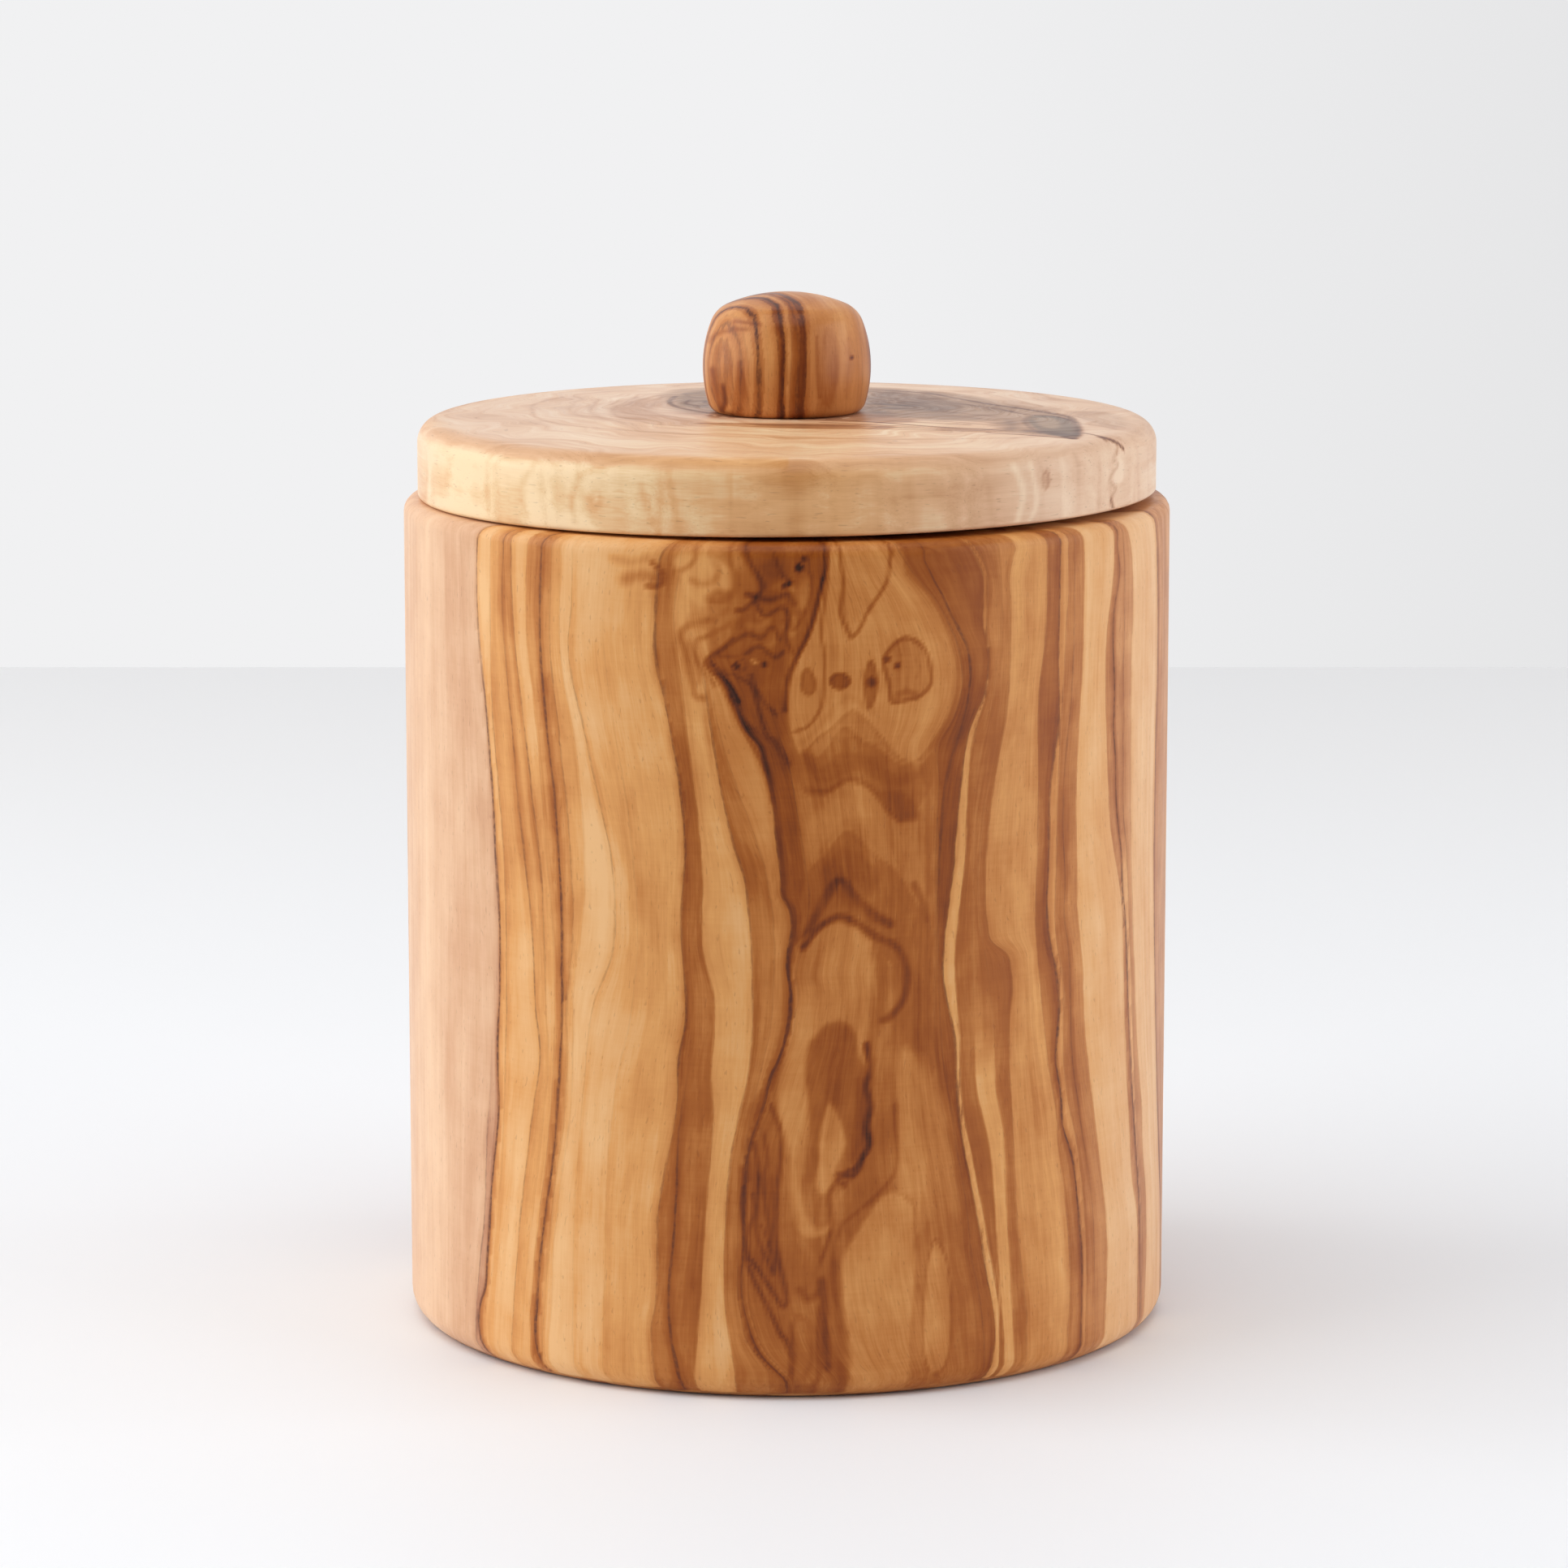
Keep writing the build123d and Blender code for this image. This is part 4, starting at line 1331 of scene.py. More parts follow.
    def figure(self, turning: Turning, places: np.ndarray) -> Figure:
        """Lay the growth lines, bands and marks over the turned surface.

        On the rim and inside, the lines of the wall run on aslant: s grows by 1.1 sin 2a for each
        mm inwards. The foot and the floor show end grain. The grain is straightened by giving each
        point the angle that its band has on average over the height.

        Args:
            turning: the jar's grid.
            places: its points.

        Returns:
            The figure at each point.
        """
        r = turning.radius[1:-1, None]
        a = turning.angle[None, :]
        z = np.clip(places[..., 2], *DRAWN_HEIGHTS)
        s = self.radius * a + np.clip(self.radius - r, 0, self.wall) * 1.1 * np.sin(2 * a)
        wall, ends = self.wall_bands(s, z[:, 0]), self.end_bands(places)
        inside = (r < self.radius - self.wall - 0.5) & (places[..., 2] < self.floor + self.cove)
        flat = inside | ((r < self.radius - 1.2) & (places[..., 2] < self.foot_round))
        chosen = {name: np.where(flat, values, wall[name]) for name, values in ends.items()}
        home = wall["home"] / self.radius
        straightened = np.stack([r * np.sin(home), -r * np.cos(home), places[..., 2]], -1)
        grain = np.where(flat[..., None], places, straightened)
        sap_edge = over_height(FRONT_LINES[SAP_LINE].path, z[:, 0])[:, None]
        rosy = np.maximum(ease((sap_edge - s) / 0.5 + 0.5), ease((s - BACK_SAP) / 0.6))
        # The wood at the right is a little rosy too, from s = 30 to 94.
        right = 0.45 * ease((s - 30) / 24) * (1 - ease((s - 78) / 16))
        blush = np.where(flat, 0.15, np.maximum(rosy, right))
        made = Figure(**chosen, grain=grain, blush=blush, ashen=np.zeros_like(blush))
        made.draw(HEART_MARKS, np.where(flat, FAR_OFF, s), z)
        return made

    def build(self) -> bpy.types.Object:
        """Build the jar, dress it and hang it on its body."""
        turning = self.turning()
        places = turning.places()
        piece = turning.mesh("jar_wood", places, self.figure(turning, places))
        return hang(piece, self.wood, Body.JAR, "jar_body")


# Marks on the lid's top, as (x, y) in mm: rings round the pith, two burls, reddish bands and a knot.
TOP_MARKS: Marks = (
    Stroke(
        ((-27, 20), (-30, 12), (-30, 4), (-29, -5), (-25.5, -12), (-20, -17), (-12, -22), (-5, -24.6),
         (5, -26.2), (16, -26), (26, -23.5)),
        0.33, 0.6, 0.6, 0.5,
    ),
    Stroke(
        ((-24, 22), (-25.5, 10), (-25, 0), (-22, -8), (-17, -14), (-10, -18.4), (-2, -20.6), (8, -21)),
        0.24, 0.5, 0.7, 0.35,
    ),
    Stroke(
        ((-18, 18), (-19.5, 10), (-20.5, 2), (-19.5, -5), (-17, -9), (-15.5, -12.5), (-12, -15)),
        0.45, 0.5, 0.5, 0.65,
    ),
    Stroke(((-15, 18), (-16, 8), (-16.4, 2), (-15.5, -2), (-13, -6), (-10, -9)), 0.42, 0.6, 0.6, 0.6),
    Patch(
        ((-20.5, 14), (-21, 4), (-20, -5), (-17, -10), (-13, -14), (-9, -15.5), (-9, -10.5), (-12.6, -7),
         (-15, -2), (-15.6, 6), (-15, 16)),
        0.26, soft=1.6, cover=0.85,
    ),
    Stroke(((-22.6, 16), (-23.2, 4), (-21.6, -6), (-18, -12)), 0.24, 0.8, 1.2, 0.6),
    # The burl behind the knob at the left.
    Patch(
        ((-14.5, 12), (-15, 20), (-13, 28), (-8, 30), (-5, 24), (-6, 8), (-8, 0), (-10, -3), (-13, 1)),
        0.34, soft=3.0, cover=0.75, ash=0.3,
    ),
    Patch(
        ((-13, 14), (-12.5, 22), (-10, 26), (-8, 20), (-8.5, 8), (-10, 4), (-12.5, 7)),
        0.42, soft=1.6, cover=0.65, ash=0.42,
    ),
    Stroke(((-13.4, 18), (-14, 11), (-13, 5), (-11, 1), (-9, -2)), 0.68, 0.6, 0.5, 0.8, 0.1),
    Stroke(((-11.5, 14), (-12, 9), (-10.5, 6.4), (-9, 7.5), (-8.8, 10)), 0.72, 0.5, 0.45, 0.75),
    Stroke(((-9.6, 11.5), (-9.8, 9.8), (-8.6, 8.8)), 0.75, 0.5, 0.4, 0.8),
    Stroke(((-12.4, 22), (-11.6, 17), (-9.6, 14)), 0.6, 0.5, 0.6, 0.6, 0.2),
    # Reddish bands in front of the knob, which draw together towards the knot.
    Patch(
        ((-9, -3), (-8.4, -7), (-2, -8.6), (6, -10.6), (12, -12), (15, -9), (12, -3), (6, 0), (-6, 0)),
        0.42, soft=1.6, cover=0.8,
    ),
    Patch(
        ((-9.6, -11.8), (-2, -12.8), (6, -13), (12, -14.6), (11, -17.6), (2, -17.8), (-5, -15.8),
         (-10.4, -13.2)),
        0.4, soft=1.2, cover=0.8,
    ),
    Patch(
        ((-3, -14), (4, -14.4), (8.5, -15.5), (8, -17.8), (1, -17.6), (-3, -16)),
        0.5, soft=0.9, cover=0.7,
    ),
    Stroke(((-8, -5.8), (-3, -6.4), (3, -7.6), (9, -8.6), (15, -11), (21, -12.6)), 0.5, 0.6, 0.6, 0.65),
    Stroke(
        ((-9, -4.4), (-5, -5.4), (4, -8.8), (8.5, -10.3), (16, -14.6), (22, -16.6), (28, -18)),
        0.74, 0.55, 0.45, 0.9,
    ),
    Stroke(((4, -11.6), (9, -13.2), (15, -15.4), (21, -16.4)), 0.58, 0.45, 0.5, 0.7),
    Stroke(((-10, -12.3), (-5, -13), (0, -14), (6, -14.6), (12, -16), (28, -19)), 0.64, 0.5, 0.45, 0.8),
    Stroke(((-5, -15.2), (2, -16.9), (17, -18.2), (23, -19)), 0.54, 0.55, 0.6, 0.7),
    # The purplish burl right of the knob.
    Patch(
        ((9, 30), (16, 27), (22, 20), (26, 12), (30, 5), (32, -2), (26, -8), (18, -8.6), (12, -5), (9, 2),
         (8, 16)),
        0.38, soft=3.2, cover=0.85, ash=0.3,
    ),
    Patch(
        ((10, 25), (15, 22), (19, 15), (21, 8), (19, 2), (13, 2), (10, 8)),
        0.55, soft=2.4, cover=0.7, ash=0.25,
    ),
    Patch(((11, 14), (15, 15), (17, 10), (14, 6), (11, 8)), 0.64, soft=1.8, cover=0.55, ash=0.15),
    Stroke(((10, 20), (14, 18), (17, 13), (21, 9), (26, 3), (30, -3)), 0.62, 0.6, 0.7, 0.65, 0.1),
    Stroke(((11, 24), (15, 21), (18, 18)), 0.6, 0.5, 0.6, 0.6, 0.1),
    Stroke(((12, 4), (16, 2), (25, -4.6)), 0.62, 0.6, 0.6, 0.7),
    Stroke(((10, -1), (14, -2.6), (19, -4), (24, -7.4)), 0.56, 0.5, 0.6, 0.65),
    Stroke(((12, -5.5), (17, -6.8), (22, -9.4), (26, -11)), 0.5, 0.6, 0.7, 0.6),
    Stroke(((13, -8.6), (19, -10.2), (24, -13)), 0.46, 0.5, 0.6, 0.6),
    Stroke(
        ((10, 27.5), (14, 25), (17.5, 22), (20, 17), (24, 10), (28, 5), (33, -2)),
        0.78, 0.6, 0.5, 0.85,
    ),
    Patch(((24, 12), (28, 7), (31, 3), (33, 5), (30, 11), (26, 16)), 0.28, soft=2.0, cover=0.5, ash=0.1),
    # The knot: teal grey, with a black rim at its right and in front.
    Patch(
        ((24.4, -4), (27, 0), (30.5, 0.5), (33, -3), (33.6, -10), (33.4, -18), (32.4, -22), (28, -20.4),
         (25, -18), (23.6, -10)),
        0.34, soft=2.4, cover=0.8, ash=0.22,
    ),
    Stroke(((25.4, -6), (26, -12), (25.6, -17)), 0.42, 1.2, 1.4, 0.6, 0.3),
    Patch(
        ((28.4, -3), (31, -2.2), (33, -6), (33.2, -14), (32.8, -21), (29.8, -19.6), (28.2, -12)),
        0.5, soft=1.0, cover=0.95, ash=0.5,
    ),
    Patch(
        ((29, -4.6), (31, -4), (31.6, -9), (31, -14), (29.4, -13), (28.8, -8)),
        0.2, soft=1.2, cover=0.7, ash=0.4,
    ),
    Stroke(((28.4, -2.6), (27.6, -8), (28, -14), (29, -19)), 0.62, 0.5, 0.7, 0.7, 0.2),
    Stroke(((28, -17), (30, -18), (32, -19.6)), 0.74, 2.2, 1.6, 0.7, 0.15),
    Stroke(((33, -2), (33.4, -6), (33.5, -13), (33.2, -19), (32.6, -22.6)), 0.78, 0.8, 0.9, 0.75, 0.15),
    Stroke(((23, -19.6), (29, -21.4), (32.4, -22.9)), 0.72, 0.55, 0.6, 0.75),
    Stroke(((31.6, -21.4), (32.6, -22.8)), 0.9, 0.9, 0.7, 0.8),
    Stroke(((25.6, 3), (28, -1), (31.6, -2.6), (33.6, -8)), 0.8, 0.5, 0.45, 0.85),
    Stroke(((33.7, -8.9), (36, -10), (38, -13)), 0.4, 0.5, 0.8, 0.6),
    Stroke(((30, 4), (32, 0.6), (34.2, -2), (36, -7)), 0.5, 0.5, 0.7, 0.7),
    Patch(((33, 3), (35, -7), (37.6, -12), (40, -6), (38, 4)), 0.26, soft=2.4, cover=0.8, ash=0.1),
    # The start of the crack that runs over the edge.
    Stroke(((34, -17.6), (35.2, -19), (36.3, -21.3)), 0.7, 0.4, 0.45, 0.8),
    # Crumbs of dry glue round the knob's foot.
    Stroke(((-8.6, -4.2), (-8.3, -4.7)), -0.3, 0.3, 0.3, 0.9),
    Stroke(((-7.6, -6), (-7, -6.6)), -0.3, 0.35, 0.3, 0.95),
    Stroke(((-6, -7.5), (-5.2, -8)), -0.3, 0.25, 0.3, 0.9),
    Stroke(((-3.8, -8.8), (-3.4, -8.9)), -0.3, 0.3, 0.3, 0.95),
    Stroke(((-2, -9.2), (-0.9, -9.3)), -0.3, 0.2, 0.3, 0.9),
    Stroke(((0.8, -9.5), (1.1, -9.5)), -0.3, 0.35, 0.3, 0.95),
    Stroke(((3.4, -9), (4.4, -8.5)), -0.3, 0.25, 0.3, 0.9),
    Stroke(((6.6, -7.4), (7.2, -6.8)), -0.3, 0.3, 0.3, 0.9),
)

# Tone and rosiness of the lid's edge, each at an s that is measured at the lid's own radius.
EDGE_TONES = (
    (-136, 0.1), (-60, 0.08), (-42, 0.01), (-30, 0.0), (-14, 0.06),
    (0, 0.16), (20, 0.17), (34, 0.12), (60, 0.08), (136, 0.1),
)
EDGE_BLUSH = ((-136, 0.9), (-66, 0.7), (-46, 0.15), (6, 0.1), (32, 0.95))

# Radii of the lid's growth rings, in mm. Those inside the last dark one show as thin lines.
LID_RINGS = (3, 6, 10, 13, 17, 21, 25, 28, 32, 36, 40, 45, 50, 56, 62, 70)
LAST_DARK_RING = 32

# Marks on the lid's edge, as (s, z) in mm.
EDGE_MARKS: Marks = (
    Patch(
        ((-23.6, 101.8), (-22.6, 103.8), (-21, 103.4), (-20.6, 101), (-21.6, 99.4), (-23.2, 100)),
        0.1, soft=1.2, cover=0.5,
    ),
    Stroke(((-23, 101.6), (-22.2, 102.6), (-21.6, 101.6), (-22.3, 100.8)), 0.2, 0.6, 0.8, 0.4),
    Stroke(((-25, 99), (-25.4, 101.6), (-24, 104.4), (-21.6, 105.2)), 0.14, 0.7, 1.0, 0.5),
    Stroke(((-31, 105), (-33, 102), (-32, 99)), 0.14, 0.8, 1.2, 0.5),
    Stroke(((-13.4, 105.4), (-12, 98.4)), 0.22, 0.6, 0.9, 0.5),
    Stroke(((-16.6, 103.4), (-15.3, 99.6)), 0.18, 0.7, 1.0, 0.5),
    Stroke(((-6.4, 105), (-6, 98.6)), 0.22, 0.5, 0.7, 0.5),
    Stroke(((0.6, 105), (1, 98.4)), 0.3, 1.8, 1.4, 0.5),
    Stroke(((5, 104.6), (5.2, 98.6)), 0.24, 0.6, 0.8, 0.45),
    Stroke(((10, 105), (10.4, 98.4)), 0.28, 0.9, 1.2, 0.35),
    Stroke(((13.6, 104), (14.3, 98.4)), 0.3, 1.2, 1.4, 0.35),
    Stroke(((17.2, 103), (19.6, 98.4)), 0.28, 1.6, 1.6, 0.35),
    Stroke(((23, 105.5), (24.4, 98.4)), 0.24, 0.8, 1.0, 0.5),
    Stroke(((27.2, 105), (28.4, 102), (27.6, 98.8)), -0.06, 0.8, 0.8, 0.6),
    Stroke(((29.6, 105), (30.4, 101), (29.4, 98.6)), -0.06, 0.6, 0.7, 0.6),
    Patch(((31.2, 103.2), (31.8, 104.2), (32.4, 103.2), (31.8, 102.2)), 0.26, soft=0.5, edge=0.36),
    Stroke(((31, 105.6), (31.4, 101), (31, 98.4)), 0.2, 0.5, 0.8, 0.5),
    Stroke(((37.2, 105.4), (37.6, 98.4)), 0.24, 0.8, 0.9, 0.5),
    Stroke(((41.5, 104), (41.2, 98.4)), 0.24, 0.7, 0.8, 0.5),
    Stroke(((34.6, 105), (35, 98.4)), -0.04, 0.8, 0.8, 0.5),
    Stroke(((51.6, 105.4), (52.2, 98.4)), 0.2, 0.8, 1.0, 0.5),
    Stroke(((56, 105.4), (56.6, 98.4)), 0.16, 0.8, 1.0, 0.5),
    Patch(((45, 104.2), (47, 103.9), (46.8, 101.8), (45.2, 101.8)), -0.1, soft=0.8, cover=0.7),
    Stroke(((45, 107), (47, 106), (47.7, 105.2)), 0.88, 0.45, 0.4, 0.9),
    Stroke(((47, 106), (45.7, 105)), 0.5, 0.4, 0.45, 0.6),
    Stroke(
        ((45.7, 105), (44.6, 104.4), (45.8, 103.6), (44.6, 102.9), (43.8, 102), (45.2, 100.9), (44.2, 100),
         (44.7, 98.6)),
        0.36, 0.5, 0.6, 0.55, 0.1,
    ),
    Stroke(((44.1, 99.8), (44.7, 98.2)), 0.6, 0.4, 0.45, 0.7),
)


@dataclass
class Lid:
    """The lid: a thick disc with a low crown, and a spigot that drops into the jar.

    Attributes:
        radius, bottom, edge_top, crown: the disc's sizes in mm.
        seat: radius of the flat under the knob.
        top_round, lower_round: its edges.
        gap: how far the outside of the disc stands off the rim of the jar: at the front, and how
            much more at the right and less at the left.
        spigot_radius, spigot_end, spigot_chamfer: the spigot.
        hole_radius, hole_bottom: the hole for the dowel.
        pith: where its growth rings have their middle, as x and y.
        wood: its finish.
    """

    radius: float = 43.35
    bottom: float = 97.6
    edge_top: float = 106.6
    crown: float = 0.8
    seat: float = 9.26
    top_round: float = 2.6
    lower_round: float = 0.5
    gap: tuple[float, float] = (0.5, 0.4)
    spigot_radius: float = 36.6
    spigot_end: float = 91.6
    spigot_chamfer: float = 0.8
    hole_radius: float = 3.03
    hole_bottom: float = 99.9
    pith: tuple[float, float] = (4.0, 8.0)
    wood: OliveWood = field(
        default_factory=lambda: OliveWood(
            "olive wood, turned and oiled, lid",
            heart=(
                (0.0, "F7D9AC"),
                (0.06, "EBC794"),
                (0.13, "E2AC74"),
                (0.28, "CC9054"),
                (0.44, "B0703A"),
                (0.6, "985A2C"),
                (0.8, "6E3C20"),
                (1.0, "2A1810"),
            ),
            sap=(
                (0.0, "ECCFB4"),
                (0.13, "E0BB9E"),
                (0.3, "C79A7C"),
                (0.45, "A67A60"),
                (0.7, "744C3D"),
                (1.0, "261816"),
            ),
            streak=(0.9, 0.9, 11.0),
            mottle=0.9,
        )
    )

    def turning(self) -> Turning:
        """The lid's outline, from the middle of its underside round to the foot of the dowel's hole.

        The crown is an arc that is level at the seat, and so high there that it would come down to
        the edge's height at the full radius. The rounded edge ends where it meets the crown.
        """
        top = self.edge_top + self.crown
        bend = ((self.radius - self.seat) ** 2 + self.crown**2) / (2 * self.crown)

        def crown_height(r: Any) -> Any:
            """Height of the crown at a radius."""
            return top - bend + np.sqrt(bend**2 - (r - self.seat) ** 2)

        waist, flank = self.spigot_radius, self.radius - self.lower_round
        rounded = self.radius - self.top_round
        low, high = self.bottom + self.lower_round, crown_height(rounded) - self.top_round
        r = np.arange(rounded - 0.3, self.seat, -0.36)
        outline = np.vstack([
            straight((0, self.spigot_end), (waist - self.spigot_chamfer, self.spigot_end), 5.0),
            [(waist - self.spigot_chamfer, self.spigot_end)],
            straight((waist, self.spigot_end + self.spigot_chamfer), (waist, self.bottom), 2.5),
            [(waist, self.bottom - 0.05)],
            straight((waist + 0.05, self.bottom), (flank, self.bottom), 1.3),
            arc((flank, low), self.lower_round, -90, 0, 3),
            straight((self.radius, low), (self.radius, high), 0.34),
            arc((rounded, high), self.top_round, 0, 88, 10),
            np.stack([r, crown_height(r)], -1),
            straight((self.seat, top), (self.hole_radius, top), 2.0),
            [(self.hole_radius, top), (self.hole_radius, top - 0.05)],
            straight((self.hole_radius, self.hole_bottom + 0.05), (0, self.hole_bottom), 1.6),
            [(0, self.hole_bottom)],
        ])
        # The columns, in degrees, lie closer together over the front and the sides.
        front = np.arange(-100, 100, 0.54)
        back = np.linspace(100, 260, 150, endpoint=False)
        return Turning(outline[:, 0], outline[:, 1], np.radians(np.concatenate([front, back])))

    def undercut(self, places: np.ndarray) -> np.ndarray:
        """Lift the underside off the rim towards the outside, which leaves a thin dark gap.

        The lift rises smoothly over 3 mm from 2 mm outside the spigot, and fades out over 1.6 mm up
        the edge. Round the lid it is the gap's first value plus the sine of the angle times its
        second one.
        """
        middle, swing = self.gap
        radius = np.hypot(places[..., 0], places[..., 1])
        low = 1 - ease((places[..., 2] - self.bottom) / 1.6)
        outside = ease((radius - self.spigot_radius - 2) / 3) * (places[..., 2] > self.bottom - 0.01)
        lifted = places.copy()
        lifted[..., 2] += low * outside * (middle + swing * places[..., 0] / self.radius)
        return lifted

    def figure(self, places: np.ndarray) -> Figure:
        """Lay growth rings round an off-centre pith, with the marks of the top and edge over them.

        The edge's tone and blush follow the light and dark wood that the photograph shows round
        it. The fibres follow the rings; behind the pith their way round is folded back on itself,
        so that it meets without a seam.
        """
        x, y, z = places[..., 0], places[..., 1], places[..., 2]
        around = self.radius * np.arctan2(x, -y)
        flat = places * np.array([1.0, 1.0, 0.3])
        right, behind = x - self.pith[0], y - self.pith[1]
        pith = np.hypot(right, behind * 0.95) + 2.4 * waver(flat, 26, 21) + 0.8 * waver(flat, 8, 22)
        rings = np.array(LID_RINGS, float)
        tones = np.random.default_rng(23).uniform(0.05, 0.13, rings.shape)
        ink = 0.12 * (rings <= LAST_DARK_RING)
        band = ring_bands(pith, rings, before=tones + 0.04, after=tones, ink=ink)
        # How far a point belongs to the edge, and how far to the rounding above it. The rounding, the outer
        # 4.5 mm of the top, is painted a tenth of a tone darker as painted shade, and on the left half it
        # is made less rosy too.
        side = ease((self.edge_top - 0.4 - z) / 1.2)
        edge_tone = np.interp(around, *np.transpose(EDGE_TONES))
        rim = ease((np.hypot(x, y) - self.radius + 4.5) / 4) * (1 - side)
        # drift is random waver plus the painted shade on the rounding.
        drift = 0.03 * waver(pith[..., None], 1.7, 25) + 0.03 * waver(flat, 14, 26) + 0.1 * rim
        for name in ("even", "odd"):
            band[name] += (edge_tone - band[name]) * side + drift
        blush = 0.95 - 0.65 * ease(-y / 18) * (1 - ease(np.abs(x) / 34)) - 0.4 * rim * (x < 0)
        blush += (np.interp(around, *np.transpose(EDGE_BLUSH)) - blush) * side
        angle = np.arctan2(right, -behind)
        folded = np.where(np.abs(angle) < 2.1, angle, 2.0 * np.sign(angle) * (math.pi - np.abs(angle)))
        grain = np.stack([pith, z, 26 * folded], -1)
        made = Figure(**band, grain=grain, blush=blush, ashen=np.zeros_like(x))
        on_top = z > self.edge_top - 1.2
        made.draw(TOP_MARKS, np.where(on_top, x, FAR_OFF), y)
        made.draw(EDGE_MARKS, np.where(np.hypot(x, y) > self.radius - 2.2, around, FAR_OFF), z)
        return made

    def build(self) -> bpy.types.Object:
        """Build the lid, dress it and hang it on its body."""
        turning = self.turning()
        places = turning.places()
        piece = turning.mesh("lid_wood", self.undercut(places), self.figure(places))
        return hang(piece, self.wood, Body.LID, "lid")


# The knob's growth rings: distance from the pith, tone before and after, and ink. The rings from 6.75 to
# 7.7, at the front left, are pale partly as the wood's own colour and partly as a painted highlight where
# the key light glances off the knob.
KNOB_RINGS = (
    (4.6, 0.2, 0.22, 0.1),
    (6.75, 0.26, 0.38, 0.3),
    (7.05, 0.36, 0.18, 0.25),
    (7.7, 0.22, 0.22, 0.45),
    (8.4, 0.24, 0.18, 0.1),
    (9.5, 0.22, 0.22, 0.95),
    (10.6, 0.2, 0.22, 0.1),
    (11.75, 0.3, 0.62, 0.35),
    (12.4, 0.72, 0.24, 0.85),
    (13.3, 0.24, 0.42, 0.2),
    (13.8, 0.54, 0.46, 0.5),
    (14.3, 0.46, 0.74, 0.5),
    (14.85, 0.72, 0.28, 0.7),
    (16.3, 0.27, 0.31, 0.05),
    (18.6, 0.31, 0.24, 0.08),
    (20.1, 0.24, 0.25, 0.05),
    (21.6, 0.27, 0.3, 0.1),
    (22.4, 0.32, 0.28, 0.2),
    (23.6, 0.28, 0.34, 0.2),
    (24.6, 0.48, 0.5, 0.7),
    (25.3, 0.5, 0.28, 0.5),
    (28.0, 0.3, 0.3, 0.2),
)

# Marks on the knob's front, as x and height over its foot, in mm.
KNOB_MARKS: Marks = (
    Patch(
        ((3.6, 6), (4, 9.4), (4.8, 10.6), (5.8, 9), (6, 5), (5.2, 1.6), (4.2, 1.8)),
        0.42, soft=0.8, cover=0.75,
    ),
    Patch(((4.9, 6), (5.4, 8), (6, 6.4), (5.8, 4), (5.2, 4)), 0.5, soft=0.8, cover=0.5),
    Stroke(((3.5, 9.6), (3.5, 6), (3.8, 2.6)), 0.52, 0.35, 0.5, 0.7),
    Stroke(((7.1, 9), (7.3, 6), (7, 2.4)), 0.36, 0.5, 0.8, 0.6),
    Stroke(((7.4, 7.1), (7.6, 6.9)), 0.95, 0.3, 0.3, 0.9),
    Patch(((-5.9, 0.6), (-5.6, 4.6), (-5.1, 5.6), (-4.8, 3), (-4.9, 0.4)), 0.46, soft=0.5, cover=0.75),
    Stroke(((-5.5, 6.6), (-6.3, 0.4)), 0.46, 0.4, 0.5, 0.7),
    Stroke(((-5.2, 5.6), (-4.6, 2.6), (-4.5, 0.4)), 0.42, 0.4, 0.5, 0.6),
    Stroke(((-8.6, 5.4), (-8.2, 2.6), (-7.6, 1)), 0.66, 0.7, 0.6, 0.7),
    Stroke(((-7.4, 3.6), (-7.2, 1.8), (-7.6, 0.6)), 0.78, 0.5, 0.5, 0.8),
    Stroke(((-9, 8.6), (-8, 9.6), (-6.4, 10.2), (-4.6, 10.4)), 0.5, 0.45, 0.6, 0.7),
    Stroke(((-6, 11.2), (-3.1, 11)), 0.56, 0.35, 0.5, 0.7),
)


